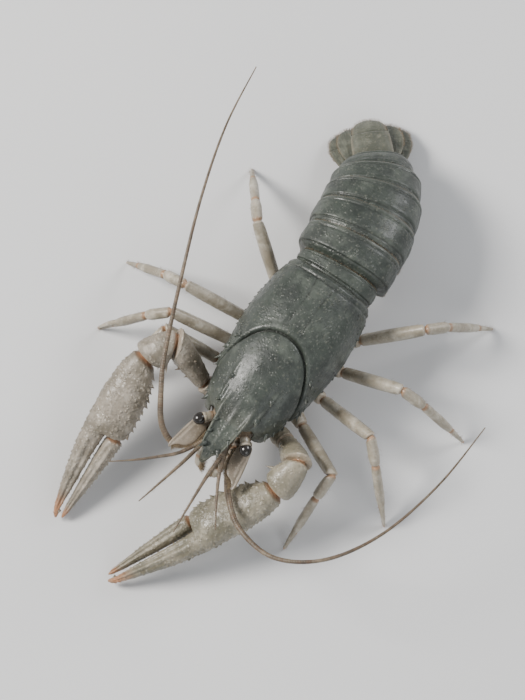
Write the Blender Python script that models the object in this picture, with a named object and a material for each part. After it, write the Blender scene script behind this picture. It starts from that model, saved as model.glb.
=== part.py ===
"""A narrow-clawed crayfish, life size, standing still with its tail curled down to its right.

Sizes are in millimetres and become metres where the meshes are made. The animal faces -Y, its left
is +X, and the floor is z = 0. The middle of the carapace's hind edge is x = y = 0 until the last
step, which puts the origin under the middle of the whole animal.
"""

import math
import random

import bmesh
import bpy
from mathutils import Matrix, Vector

MM = 0.001
GAP = 0.3
WELD = 0.03
MITRE_REACH = 14.0
SHARP_ANGLE = math.radians(40)
UP = Vector((0, 0, 1))
FORWARD = Vector((0, -1, 0))
SIDES = {"left": 1, "right": -1}

# Colours as seen in even light, with the roughness of each.
COLOURS = {
    "dark shell": ((0.075, 0.085, 0.068), 0.35),
    "pale belly": ((0.38, 0.33, 0.25), 0.5),
    "claw shell": ((0.25, 0.235, 0.19), 0.4),
    "leg shell": ((0.36, 0.33, 0.27), 0.42),
    "feeler": ((0.11, 0.085, 0.06), 0.5),
    "tail fan": ((0.14, 0.145, 0.11), 0.4),
    "eye": ((0.008, 0.008, 0.009), 0.08),
}

# The carapace: each list gives (y, value) from the face to the hind edge.
FACE_Y = -42.5
CARAPACE_HALF_WIDTH = ((-42.5, 6.6), (-40.5, 8.4), (-35, 10.3), (-26, 12.4), (-15, 13.4),
                       (-6, 12.7), (-1.2, 11.6), (0, 11.0))
CARAPACE_TOP = ((-42.5, 28.4), (-40.5, 29.5), (-34, 31.2), (-24, 32.9), (-14, 33.4),
                (-5, 32.5), (-1.2, 31.6), (0, 30.9))
CARAPACE_MIDDLE = ((-42.5, 22.3), (-30, 21.3), (-12, 21.0), (0, 22.0))
CARAPACE_BOTTOM = ((-42.5, 16.4), (-39.5, 13.4), (-36, 11.4), (-20, 11.0), (-6, 12.0), (0, 14.6))
CARAPACE_SIDES = 30
FLAT_BOTTOM_Z = 12.8
FLAT_BOTTOM_START_Y = -40.5

# The neck groove crosses the carapace, forward on the flanks and further back over the top.
GROOVE_SHARE = 0.45
GROOVE_HALF = 0.013
GROOVE_TOP_SHIFT = 5.4
GROOVE_SIDE_SHIFT = -9.6
GROOVE_DEPTH = 0.8
CARAPACE_SHARES = (0, 0.045, 0.13, 0.24, 0.34, 0.42, GROOVE_SHARE - GROOVE_HALF, GROOVE_SHARE,
                   GROOVE_SHARE + GROOVE_HALF, 0.48, 0.56, 0.67, 0.79, 0.9, 0.97, 1)

# Carapace spines: y, degrees up from the flank, root radius, height, lean toward the head.
CARAPACE_SPINES = ((-38.6, 58, 0.8, 1.7, 1.3), (-33.0, 61, 0.75, 1.3, 1.3), (-39.6, 18, 0.7, 1.4, 1.4))
# The row behind the neck groove: degrees up from the flank, height.
GROOVE_SPINES = ((38, 0.9), (24, 1.3), (11, 1.5), (-2, 1.2))
GROOVE_SPINE_BACK = 2.2
GROOVE_SPINE_RADIUS = 0.6
GROOVE_SPINE_LEAN = 1.2

# The beak: y, half width, thickness, height of its middle. Its spines: y, half width there, size.
ROSTRUM = ((-34, 3.6, 1.5, 29.6), (-39, 4.1, 1.5, 29.4), (-43, 3.8, 1.4, 28.7), (-47, 3.3, 1.2, 28.7),
           (-50, 2.9, 1.0, 29.1), (-50.9, 1.7, 0.8, 29.3), (-52.5, 1.0, 0.6, 29.7), (-54, 0.3, 0.3, 30.2))
ROSTRUM_EDGE = 0.45
ROSTRUM_SPINES = ((-43.5, 3.6, 0.8), (-46.7, 3.2, 0.8), (-50.2, 2.7, 1.1))
ROSTRUM_SPINE_Z = 29.1

# The plate between the roots of the feelers: y, half width, half height, height of its middle.
MOUTH_PLATE = ((-40.5, 1.5, 1.4, 18.1), (-43.4, 1.5, 1.3, 17.9), (-45.2, 1.0, 0.9, 17.7),
               (-45.9, 0.4, 0.4, 17.6))

# The plates under the thorax, which carry the legs: y, share of the width, rise of the underside.
STERNUM = ((-39.5, 0.8, 0.9), (-37, 1.0, 0.4), (-20, 1.0, 0.0), (-6, 0.97, 0.2), (-3, 0.7, 1.2))
STERNUM_TOP_Z = FLAT_BOTTOM_Z - GAP
STERNUM_LOW_Z = 8.0
STERNUM_TOP_HALF = 6.6
STERNUM_LOW_HALF = 4.4
STERNUM_KEEL_HALF = 0.8
STERNUM_KEEL_DENT = 0.5

# The tail: length, half width, height above and below the middle line, and how far the side flap hangs.
SOMITES = (
    {"length": 3.8, "half": 10.6, "top": 7.0, "belly": 4.4, "flap": 1.2},
    {"length": 7.2, "half": 12.4, "top": 8.3, "belly": 4.8, "flap": 4.6},
    {"length": 7.2, "half": 12.7, "top": 8.3, "belly": 4.8, "flap": 5.0},
    {"length": 6.8, "half": 12.2, "top": 7.8, "belly": 4.6, "flap": 4.8},
    {"length": 6.4, "half": 11.2, "top": 7.0, "belly": 4.2, "flap": 4.2},
    {"length": 6.8, "half": 9.4, "top": 5.9, "belly": 3.5, "flap": 2.0},
)
TAIL_START_Z = 23.2
TAIL_PITCH = (0, 5, 14, 24, 33, 39)
TAIL_YAW = (3, 6, 10, 17, 27, 36)
FAN_PITCH = 30
FAN_YAW = 43
RING_ARCH_STEPS = 12
# Along a ring: share of its length, share of the side flap, share of the full width.
RING_STATIONS = ((0, 0.25, 0.93), (0.12, 0.45, 0.95), (0.3, 0.8, 0.985), (0.55, 1.0, 1.0),
                 (0.8, 0.8, 1.0), (1, 0.35, 0.985))
LAST_RING_STATIONS = RING_STATIONS[:4] + ((0.8, 0.8, 0.95), (1, 0.35, 0.86))
# The paddles under the tail: how far they hang, share of the half width, share of the ring.
SWIMMERET_REACH = 6.2
SWIMMERET_OUT = 0.47
SWIMMERET_ALONG = 0.42

# Tail fan vanes: distance from the root, reach to the inner and outer side, half thickness.
TELSON = ((0, 4.7, 4.7, 1.25), (1.5, 5.1, 5.1, 1.3), (6, 5.0, 5.0, 1.05), (8.6, 4.7, 4.7, 0.9),
          (9.0, 4.3, 4.3, 0.75), (12.2, 3.9, 3.9, 0.6), (13.7, 2.6, 2.6, 0.5), (14.3, 1.2, 1.2, 0.35))
FAN_INNER = ((0, 1.5, 1.5, 0.8), (1.4, 2.0, 2.2, 0.8), (4, 3.2, 3.7, 0.62), (8, 3.8, 4.0, 0.55),
             (11.5, 3.3, 3.3, 0.5), (13.4, 2.0, 2.0, 0.42), (14.2, 0.9, 0.9, 0.33))
FAN_OUTER = ((0, 1.4, 1.6, 0.85), (1.4, 2.0, 2.3, 0.85), (4.5, 3.4, 3.8, 0.62), (9.2, 4.0, 4.2, 0.58),
             (9.8, 3.8, 4.0, 0.45), (12.6, 3.1, 3.1, 0.45), (14.4, 1.9, 1.9, 0.4), (15.2, 0.8, 0.8, 0.33))
# Where each side vane starts: its sideways and upward shift, and the degrees it spreads.
FAN_PLACES = (("inner", FAN_INNER, 3.9, 0.35, 4), ("outer", FAN_OUTER, 5.0, -1.75, 9))
TELSON_LIFT = 2.6
VANE_ARCH = 0.0042
VANE_BEND_WIDTH = 9.0
VANE_MITRE = 5.0
VANE_RIDGE = 0.25

# Legs: hip along the body, direction of the upper and lower length, knee height, and length of each.
# Directions are degrees forward of straight out to the side.
HIP_Y = {2: -27.5, 3: -21.2, 4: -14.9, 5: -8.6}
LEGS = {
    ("left", 2): {"upper": 27, "lower": 92, "knee": 17.5, "thigh": 17.0, "shin": 26.0},
    ("left", 3): {"upper": 9, "lower": 44, "knee": 20.5, "thigh": 19.0, "shin": 28.0},
    ("left", 4): {"upper": -11, "lower": -4, "knee": 20.0, "thigh": 18.5, "shin": 27.0},
    ("left", 5): {"upper": -38, "lower": -48, "knee": 19.0, "thigh": 18.0, "shin": 26.0},
    ("right", 2): {"upper": 8, "lower": 76, "knee": 14.0, "thigh": 15.0, "shin": 24.0},
    ("right", 3): {"upper": 15, "lower": 36, "knee": 19.0, "thigh": 18.0, "shin": 26.5},
    ("right", 4): {"upper": 12, "lower": 2, "knee": 20.0, "thigh": 19.0, "shin": 27.0},
    ("right", 5): {"upper": -36, "lower": -50, "knee": 19.0, "thigh": 17.0, "shin": 26.0},
}
LAST_PINCER_LEG = 3
FOOT_HALF = 0.45
# Each length of a leg or arm lists (share, half width, half depth) along it.
LEG_UPPER = (((0, 2.0, 2.0), (0.6, 2.2, 2.1), (1, 1.65, 1.6)),
             ((0, 1.65, 1.6), (0.5, 1.8, 1.75), (1, 1.4, 1.5)),
             ((0, 1.4, 1.5), (0.15, 1.45, 1.8), (0.5, 1.55, 2.1), (0.88, 1.45, 1.95), (1, 1.2, 1.55)))
LEG_WRIST = ((0, 1.15, 1.4), (0.2, 1.3, 1.65), (0.75, 1.35, 1.7), (1, 1.0, 1.1))
LEG_TIP = ((0, 0.8, 0.8), (0.35, 0.62, 0.7), (0.8, 0.42, 0.5), (1, FOOT_HALF, FOOT_HALF))
LEG_PALM_DEPTH = {True: 1.6, False: 1.15}
LEG_ANKLE_DEPTH = {True: 0.95, False: 0.8}
LEG_THUMB = (((0, 0.5, 0.5), (1, 0.6, 0.6)), ((0, 0.6, 0.6), (0.6, 0.45, 0.45), (1, 0.25, 0.25)))

# Claw arms: the joints from the shoulder outward and the tip of the claw, as for the left side.
ARM_HIP_Y = -34.4
ARMS = {
    "left": {"shoulder": (12.2, -36.0, 11.2), "elbow": (18.4, -40.2, 22.6), "wrist": (17.6, -48.0, 19.4),
             "tip": (-4.5, -87.5, 2.4)},
    "right": {"shoulder": (12.6, -35.4, 11.0), "elbow": (22.6, -32.6, 21.2), "wrist": (26.8, -39.2, 19.0),
              "tip": (24.4, -82.0, 2.2)},
}
ARM_BASE = (((0, 2.3, 2.2), (0.6, 2.5, 2.3), (1, 2.0, 2.0)), ((0, 2.0, 2.0), (0.5, 2.5, 2.2), (1, 2.2, 2.1)))
ARM_UPPER = ((0, 2.0, 2.1), (0.15, 2.3, 2.6), (0.45, 2.8, 3.2), (0.8, 3.2, 3.7), (0.94, 3.1, 3.5),
             (1, 2.6, 2.9))
ARM_WRIST = ((0, 2.5, 2.6), (0.2, 3.2, 3.1), (0.5, 3.9, 3.7), (0.82, 4.1, 3.9), (1, 3.0, 3.0))
KNUCKLE_SHARE = 0.455
KNUCKLE_STEP = 0.008
CLAW_ROLL = math.radians(12)
# The palm and its fixed finger: share of the length, reach to the outer and inner side, half depth, lift.
PALM = ((0, 2.7, 2.7, 2.6, 0), (0.05, 3.7, 3.6, 3.2, 0), (0.14, 4.8, 5.0, 3.8, 0.2),
        (0.28, 5.3, 5.8, 4.1, 0.3), (0.4, 5.2, 5.8, 3.9, 0.2), (KNUCKLE_SHARE, 5.1, 5.4, 3.4, 0),
        (KNUCKLE_SHARE + KNUCKLE_STEP, 5.0, 0.5, 3.1, 0), (0.56, 4.7, 0.4, 2.6, 0), (0.7, 3.8, 0.3, 2.1, 0),
        (0.84, 2.6, 0.3, 1.55, 0), (0.94, 1.5, 0.1, 1.0, 0), (0.985, 0.7, 0.5, 0.6, 0),
        (1, 0.1, 0.5, 0.3, 0))
PALM_STATIONS_TO_KNUCKLE = 6
FINGER = ((0, 1.9, 2.6), (0.06, 2.15, 2.75), (0.25, 1.95, 2.4), (0.5, 1.55, 1.9), (0.75, 1.05, 1.35),
          (0.93, 0.6, 0.8), (1, 0.25, 0.35))
PALM_KNOBS = 6
# Teeth on the fixed finger: share of the claw's length, reach to the inner side.
PALM_TEETH = ((0.62, 0.35), (0.74, 0.3))
KNOB_SEEDS = {"left": 3, "right": 5}

# The head's small parts, as for the left side: where each one grows and which way.
EYE_ROOT = (4.5, FACE_Y, 25.2)
EYE_WAY = (0.62, -0.76, 0.2)
EYE_STALK = ((0, 1.3, 1.25), (0.5, 1.25, 1.25), (1, 1.4, 1.4))
EYE_STALK_LENGTH = 2.7
EYE_RADIUS = 1.5
EYE_LENGTH = 2.44
EYE_SIDES = 14
ANTENNULE_ROOT = (1.65, FACE_Y, 23.3)
ANTENNULE_REACH = (0.9, -7.0, 0.6)
ANTENNULE_STEM = (((0, 1.05, 1.1), (1, 1.0, 1.0)), ((0, 1, 1), (0.5, 1.0, 0.9), (1, 0.75, 0.7)))
# The two whips of each short feeler: degrees of outward swing, rise, length.
FEELER_FORK = {"left": ((4, 6.0, 22.0), (24, 2.5, 18.0)), "right": ((9, 5.5, 21.0), (36, 3.2, 23.0))}
FORK_RADII = (0.55, 0.5, 0.42, 0.34, 0.24)
# The long feelers: the middle line beyond the base, and the radius at the root and at the tip.
ANTENNA_ROOT = (4.2, FACE_Y, 19.2)
ANTENNA_BASE_END = (5.1, -50.2, 20.4)
ANTENNA_BASE = (((0, 2.1, 2.1), (0.7, 2.2, 2.1), (1, 1.7, 1.7)),
                ((0, 1.7, 1.7), (0.6, 1.95, 1.8), (1, 1.5, 1.4)),
                ((0, 1.5, 1.4), (0.5, 1.45, 1.35), (1, 1.15, 1.1)))
ANTENNA_PATH = {
    "left": ((9.0, -55.8, 21.4), (16.5, -61.5, 25.6), (27.5, -63.0, 30.0), (38.0, -56.5, 32.0),
             (45.5, -43.5, 31.5), (49.5, -26.0, 29.5), (50.5, -8.0, 27.0)),
    "right": ((-8.8, -53.0, 20.9), (-13.6, -51.2, 23.6), (-17.8, -45.4, 27.2), (-22.2, -37.5, 29.4),
              (-29.5, -20.0, 32.4), (-36.5, -2.0, 33.4), (-42.0, 16.0, 32.0), (-45.0, 33.0, 28.5)),
}
ANTENNA_STEPS = 3
FEELER_ROOT = 0.85
FEELER_TIP = 0.27
SCALE_ROOT = (6.0, FACE_Y, 22.9)
SCALE_WAY = (0.2, -1, 0.03)
SCALE_ACROSS = (1, 0.2, 0)
SCALE = ((0, 0.7, 1.0, 0.55), (1.5, 1.3, 1.7, 0.6), (4, 1.6, 2.6, 0.55), (7, 1.7, 2.9, 0.5),
         (9.5, 1.6, 2.2, 0.45), (10.8, 1.5, 0.4, 0.42), (12.6, 1.0, -0.5, 0.3))
MOUTH_LEG_JOINTS = ((2.5, STERNUM[0][0], 10.7), (2.8, -43.2, 12.0), (3.1, -48.0, 14.8), (3.0, -50.6, 14.2),
                    (2.4, -52.4, 11.0), (1.9, -52.6, 8.4))
MOUTH_LEG = (((0, 1.5, 1.1), (0.6, 1.75, 1.15), (1, 1.5, 1.05)),
             ((0, 1.5, 1.05), (0.5, 1.6, 1.1), (1, 1.15, 1.0)),
             ((0, 1.15, 1.0), (1, 1.0, 0.95)), ((0, 1.0, 0.95), (0.6, 1.0, 0.8), (1, 0.75, 0.65)),
             ((0, 0.75, 0.65), (1, 0.4, 0.35)))


def read_table(table, at):
    """The value at a place between the ones that a table names."""
    if at <= table[0][0]:
        return table[0][1]
    for (start, first), (end, last) in zip(table, table[1:]):
        if at <= end:
            return first + (last - first) * (at - start) / (end - start)
    return table[-1][1]


def power(value, exponent):
    """A power that keeps the sign of its value, for superellipses."""
    return math.copysign(abs(value) ** exponent, value)


def mirrored(point, side):
    """A point given for the left side, on the side asked for."""
    return Vector((point[0] * SIDES[side], point[1], point[2]))


def circle(centre, across, above, radius, sides, turn=0.0):
    """Points evenly round a centre."""
    angles = [2 * math.pi * (i + turn) / sides for i in range(sides)]
    return [centre + (across * math.cos(a) + above * math.sin(a)) * radius for a in angles]


def loft(rings, vane=False):
    """A closed shape through rings of equal count, each end closed by a fan to its middle.

    On a vane the lower half of each ring is split along the diagonals that mirror the upper half's,
    so that its two thin faces stay parallel.
    """
    shape = bmesh.new()
    loops = [[shape.verts.new(p * MM) for p in ring] for ring in rings]
    count = len(rings[0])
    for low, high in zip(loops, loops[1:]):
        for i in range(count):
            k = (i + 1) % count
            quad = (low[i], low[k], high[k], high[i])
            if vane and i >= count // 2:
                quad = quad[1:] + quad[:1]
            shape.faces.new(quad)
    ends = [shape.faces.new(loops[0]), shape.faces.new(loops[-1])]
    bmesh.ops.poke(shape, faces=ends, center_mode="MEAN")
    bmesh.ops.triangulate(shape, faces=shape.faces[:], quad_method="FIXED")
    bmesh.ops.recalc_face_normals(shape, faces=shape.faces[:])
    return shape


def limb(joints, spans, first_normal=None, last_normal=None, first_gap=GAP / 2, last_gap=GAP / 2,
         sides=8, side_hint=None, squareness=2.0):
    """The rings of a limb of straight lengths.

    A station is (share, half width, half depth), which may go on with a sideways and an upward shift.

    An end lies in the plane of its normal, set back by its gap, so that two lengths meet face to face.
    """
    ways = [(b - a).normalized() for a, b in zip(joints, joints[1:])]
    normals = [(a + b).normalized() for a, b in zip(ways, ways[1:])]
    normals.insert(0, (first_normal or ways[0]).normalized())
    normals.append((last_normal or ways[-1]).normalized())
    joints = [p.copy() for p in joints]
    joints[0] += ways[0] * (first_gap / ways[0].dot(normals[0]))
    joints[-1] -= ways[-1] * (last_gap / ways[-1].dot(normals[-1]))
    side = side_hint or ways[0].cross(UP)
    rings = []
    for k, way in enumerate(ways):
        side = (side - way * side.dot(way)).normalized()
        above = side.cross(way)
        reach = min(1.0, MITRE_REACH / (joints[k + 1] - joints[k]).length)
        for station in spans[k]:
            share, width, depth = station[:3]
            sideways, upward = station[3:] or (0.0, 0.0)
            if k and share == 0:
                continue
            centre = joints[k].lerp(joints[k + 1], share)
            first_share = max(0.0, 1 - share / reach) ** 2
            last_share = max(0.0, 1 - (1 - share) / reach) ** 2
            ring = []
            for i in range(sides):
                angle = 2 * math.pi * (i + 0.5) / sides
                offset = (side * (width * power(math.cos(angle), 2 / squareness) + sideways)
                          + above * (depth * power(math.sin(angle), 2 / squareness) + upward))
                at_start = -offset.dot(normals[k]) / way.dot(normals[k])
                at_end = -offset.dot(normals[k + 1]) / way.dot(normals[k + 1])
                ring.append(centre + offset + way * (at_start * first_share + at_end * last_share))
            rings.append(ring)
    return rings


def spine(root, way, radius, height, sides=5, sink=1.2):
    """A pointed spine whose root is sunk below the surface that it grows from."""
    way = way.normalized()
    across = way.orthogonal().normalized()
    above = way.cross(across)
    stations = ((-sink, radius * 1.1), (0, radius), (height * 0.55, radius * 0.55), (height, radius * 0.12))
    return [circle(root + way * along, across, above, size, sides) for along, size in stations]


def paint(name):
    colour, roughness = COLOURS[name]
    material = bpy.data.materials.new(name)
    material.use_nodes = True
    shader = material.node_tree.nodes["Principled BSDF"]
    shader.inputs["Base Color"].default_value = (*colour, 1)
    shader.inputs["Roughness"].default_value = roughness
    shader.inputs["Metallic"].default_value = 0.0
    material.diffuse_color = (*colour, 1)
    return material


def shade(mesh):
    mesh.shade_smooth()
    mesh.set_sharp_from_angle(angle=SHARP_ANGLE)


def object_of(name, rings, collection, vane=False):
    """An object whose own origin is the middle of its first end, where it joins the part before it."""
    root = sum(rings[0], Vector()) / len(rings[0]) * MM
    shape = loft(rings, vane)
    bmesh.ops.translate(shape, verts=shape.verts[:], vec=-root)
    mesh = bpy.data.meshes.new(name)
    shape.to_mesh(mesh)
    shape.free()
    made = bpy.data.objects.new(name, mesh)
    made.location = root
    collection.objects.link(made)
    return made


def keep_largest_surface(mesh):
    """Drops every closed surface of a mesh but its largest, so a node is one closed body."""
    shape = bmesh.new()
    shape.from_mesh(mesh)
    bmesh.ops.remove_doubles(shape, verts=shape.verts[:], dist=WELD * MM)
    bmesh.ops.triangulate(shape, faces=shape.faces[:])
    left = set(shape.faces)
    shells = []
    while left:
        shell, edge = set(), [left.pop()]
        while edge:
            face = edge.pop()
            shell.add(face)
            for near in (f for e in face.edges for f in e.link_faces if f in left):
                left.discard(near)
                edge.append(near)
        shells.append(shell)
    shells.sort(key=lambda shell: sum(face.calc_area() for face in shell))
    for shell in shells[:-1]:
        bmesh.ops.delete(shape, geom=list(shell), context="FACES")
    shape.to_mesh(mesh)
    shape.free()


def node(name, rings, material, extras=(), vane=False):
    """One named object. Spines and the like are joined to it by one Boolean union."""
    made = object_of(name, rings, bpy.context.scene.collection, vane)
    if extras:
        group = bpy.data.collections.new(name + "_extras")
        bpy.context.scene.collection.children.link(group)
        for i, extra in enumerate(extras):
            object_of(f"{name}_extra_{i}", extra, group)
        union = made.modifiers.new("union", "BOOLEAN")
        union.operation = "UNION"
        union.operand_type = "COLLECTION"
        union.collection = group
        union.solver = "MANIFOLD"
        bpy.context.view_layer.update()
        graph = bpy.context.evaluated_depsgraph_get()
        made.data = bpy.data.meshes.new_from_object(made.evaluated_get(graph))
        made.modifiers.clear()
        for piece in list(group.objects):
            bpy.data.objects.remove(piece)
        bpy.data.collections.remove(group)
        keep_largest_surface(made.data)
    made.data.materials.clear()
    made.data.materials.append(material)
    shade(made.data)
    return made


def carapace_point(share, angle):
    """A point of the carapace: share runs from face to hind edge, angle from its left side over the top."""
    up = max(0.0, math.sin(angle))
    groove_shift = GROOVE_SIDE_SHIFT + (GROOVE_TOP_SHIFT - GROOVE_SIDE_SHIFT) * up ** 1.5
    hat = share / GROOVE_SHARE if share < GROOVE_SHARE else (1 - share) / (1 - GROOVE_SHARE)
    y = FACE_Y * (1 - share) + groove_shift * hat
    half = read_table(CARAPACE_HALF_WIDTH, y)
    top = read_table(CARAPACE_TOP, y)
    middle = read_table(CARAPACE_MIDDLE, y)
    bottom = read_table(CARAPACE_BOTTOM, y)
    near_groove = math.exp(-((share - GROOVE_SHARE) / GROOVE_HALF) ** 2)
    dent = GROOVE_DEPTH * near_groove * min(1.0, max(0.0, 0.7 + math.sin(angle)))
    x = (half - dent) * power(math.cos(angle), 2 / 2.25)
    if math.sin(angle) >= 0:
        z = middle + (top - middle - dent) * power(math.sin(angle), 2 / 2.1)
    else:
        z = middle + (middle - bottom) * power(math.sin(angle), 2 / 2.5)
    if y > FLAT_BOTTOM_START_Y:
        z = max(z, FLAT_BOTTOM_Z)
    return Vector((x, y, z))


def carapace_normal(share, angle):
    step = 0.01
    along = carapace_point(share + step, angle) - carapace_point(share - step, angle)
    around = carapace_point(share, angle + step) - carapace_point(share, angle - step)
    return along.cross(around).normalized()


def carapace_place(y, angle):
    """The share of the carapace's length at which a point at this angle has this y."""
    low, high = 0.0, 1.0
    for _ in range(30):
        share = (low + high) / 2
        if carapace_point(share, angle).y < y:
            low = share
        else:
            high = share
    return share


def carapace_angle(degrees, side):
    return math.radians(degrees if side == "left" else 180 - degrees)


def carapace_spine(y, angle, radius, height, lean):
    """A spine on the carapace, leaning forward of the surface's normal."""
    share = carapace_place(y, angle)
    way = carapace_normal(share, angle) + FORWARD * lean
    return spine(carapace_point(share, angle), way, radius, height)


def rostrum():
    """The beak between the eyes: flat, with raised edges and a low keel."""
    rings = []
    for y, half, thick, z in ROSTRUM:
        edge = ROSTRUM_EDGE * min(1.0, half / 3)
        rim, hollow, keel = thick / 2 + edge, thick / 2 - 0.1, thick / 2 + 0.15
        outline = ((1, 0), (0.86, rim), (0.5, hollow), (0, keel), (-0.5, hollow), (-0.86, rim),
                   (-1, 0), (-0.6, -thick / 2), (0, -thick / 2 - 0.2), (0.6, -thick / 2))
        rings.append([Vector((half * x, y, z + up)) for x, up in outline])
    return rings


def mouth_plate():
    """The plate under the feelers' roots, in front of the mouth."""
    rings = []
    for y, half, height, z in MOUTH_PLATE:
        ring = circle(Vector(), Vector((half, 0, 0)), Vector((0, 0, height)), 1.0, 8, turn=0.5)
        rings.append([Vector((0, y, z)) + p for p in ring])
    return rings


def make_carapace(material):
    turns = [2 * math.pi * (i + 0.5) / CARAPACE_SIDES for i in range(CARAPACE_SIDES)]
    rings = [[carapace_point(share, turn) for turn in turns] for share in CARAPACE_SHARES]
    extras = [rostrum(), mouth_plate()]
    for side, sign in SIDES.items():
        for y, half, size in ROSTRUM_SPINES:
            root = Vector((sign * half, y, ROSTRUM_SPINE_Z))
            extras.append(spine(root, Vector((sign * 0.7, -1, 0.25)), size * 0.55, size * 1.8, sink=1.0))
        for y, degrees, radius, height, lean in CARAPACE_SPINES:
            extras.append(carapace_spine(y, carapace_angle(degrees, side), radius, height, lean))
        for degrees, height in GROOVE_SPINES:
            angle = carapace_angle(degrees, side)
            y = carapace_point(GROOVE_SHARE, angle).y + GROOVE_SPINE_BACK
            extras.append(carapace_spine(y, angle, GROOVE_SPINE_RADIUS, height, GROOVE_SPINE_LEAN))
    node("carapace", rings, material, extras)


def sternum_half(z):
    """Half the sternum's width at a height, since its flat sides lean outward to the top."""
    return STERNUM_LOW_HALF + (STERNUM_TOP_HALF - STERNUM_LOW_HALF) * (z - STERNUM_LOW_Z) / (
        STERNUM_TOP_Z - STERNUM_LOW_Z)


def make_sternum(material):
    """A wedge under the thorax, flat on its sides, where the legs meet it."""
    rings = []
    for y, share, rise in STERNUM:
        low = STERNUM_LOW_Z + rise
        reach = sternum_half(low)
        right = ((-STERNUM_TOP_HALF, STERNUM_TOP_Z), (-reach, low), (-STERNUM_KEEL_HALF, low))
        left = ((STERNUM_KEEL_HALF, low), (reach, low), (STERNUM_TOP_HALF, STERNUM_TOP_Z))
        outline = ((0, STERNUM_TOP_Z),) + right + ((0, low + STERNUM_KEEL_DENT),) + left
        rings.append([Vector((x * share, y, z)) for x, z in outline])
    node("sternum", rings, material)


def sternum_side(y, side):
    """A point halfway up the sternum's flat side, where a hip joins it, and that side's outward normal."""
    slope = Vector((STERNUM_TOP_Z - STERNUM_LOW_Z, 0, STERNUM_LOW_HALF - STERNUM_TOP_HALF)).normalized()
    height = (STERNUM_LOW_Z + STERNUM_TOP_Z) / 2
    share = read_table([station[:2] for station in STERNUM], y)
    return mirrored((sternum_half(height) * share, y, height), side), mirrored(slope, side)


def tail_way(pitch, yaw):
    """A direction that runs backward, turned down and to the animal's right."""
    pitch, yaw = math.radians(pitch), math.radians(yaw)
    return Vector((-math.sin(yaw) * math.cos(pitch), math.cos(yaw) * math.cos(pitch), -math.sin(pitch)))


def tail_frame(way):
    """The level direction to the animal's left of a backward way, and the one square above both."""
    across = Vector((way.y, -way.x, 0)).normalized()
    return across, across.cross(way).normalized()


def tail_line():
    """The tail's joints from the carapace to the fan, the way of each ring, and the planes between rings."""
    joints = [Vector((0, 0, TAIL_START_Z))]
    ways = [tail_way(pitch, yaw) for pitch, yaw in zip(TAIL_PITCH, TAIL_YAW)]
    for somite, way in zip(SOMITES, ways):
        joints.append(joints[-1] + way * somite["length"])
    next_ways = ways[1:] + [tail_way(FAN_PITCH, FAN_YAW)]
    planes = [-FORWARD] + [(a + b).normalized() for a, b in zip(ways, next_ways)]
    return joints, ways, planes


def ring_outline(somite, flap_share, swell):
    """One cross-section of a tail ring: an arched back, hanging side flaps and a flat belly."""
    half, top, belly = somite["half"] * swell, somite["top"] * swell, somite["belly"]
    low = belly + somite["flap"] * flap_share
    points = []
    for i in range(RING_ARCH_STEPS + 1):
        angle = math.pi * i / RING_ARCH_STEPS
        points.append((half * power(math.cos(angle), 2 / 2.3), top * power(math.sin(angle), 2 / 2.15)))
    side = ((0.985, belly * 0.55), (0.93, low), (0.82, low - 0.15), (0.74, belly), (0.3, belly + 0.1))
    points += [(-half * x, -down) for x, down in side]
    points += [(half * x, -down) for x, down in reversed(side)]
    return points


def place_ring(outline, centre, way, share, first_plane, last_plane):
    """A cross-section set across a way, its plane eased from the first end's to the last end's."""
    across, above = tail_frame(way)
    ring = []
    for x, up in outline:
        offset = across * x + above * up
        at_start = -offset.dot(first_plane) / way.dot(first_plane)
        at_end = -offset.dot(last_plane) / way.dot(last_plane)
        ring.append(centre + offset + way * (at_start * (1 - share) ** 1.3 + at_end * share ** 1.3))
    return ring


def swimmeret(root, way, above):
    """A small two-part paddle under the tail."""
    knee = root - above * (SWIMMERET_REACH * 0.35) + way * 0.8
    tip = root - above * (SWIMMERET_REACH * 0.82) + way * (SWIMMERET_REACH * 0.42)
    spans = (((0, 0.9, 0.6), (1, 0.8, 0.55)), ((0, 0.8, 0.5), (0.5, 1.1, 0.45), (1, 0.35, 0.3)))
    return limb([root + above, knee, tip], spans, first_gap=0, last_gap=0, sides=6)


def make_tail(material):
    joints, ways, planes = tail_line()
    for k, (somite, way) in enumerate(zip(SOMITES, ways)):
        first_gap = GAP if k == 0 else GAP / 2
        start = joints[k] + way * (first_gap / way.dot(planes[k]))
        end = joints[k + 1] - way * (GAP / 2 / way.dot(planes[k + 1]))
        last = k == len(SOMITES) - 1
        rings = []
        for share, flap_share, swell in LAST_RING_STATIONS if last else RING_STATIONS:
            outline = ring_outline(somite, flap_share, swell)
            rings.append(place_ring(outline, start.lerp(end, share), way, share, planes[k], planes[k + 1]))
        paddles = []
        if 0 < k and not last:
            across, above = tail_frame(way)
            for sign in SIDES.values():
                aside = across * (sign * somite["half"] * SWIMMERET_OUT)
                root = start.lerp(end, SWIMMERET_ALONG) - above * somite["belly"] + aside
                paddles.append(swimmeret(root, way, above))
        node(f"tail_ring_{k + 1}", rings, material, paddles)


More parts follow.
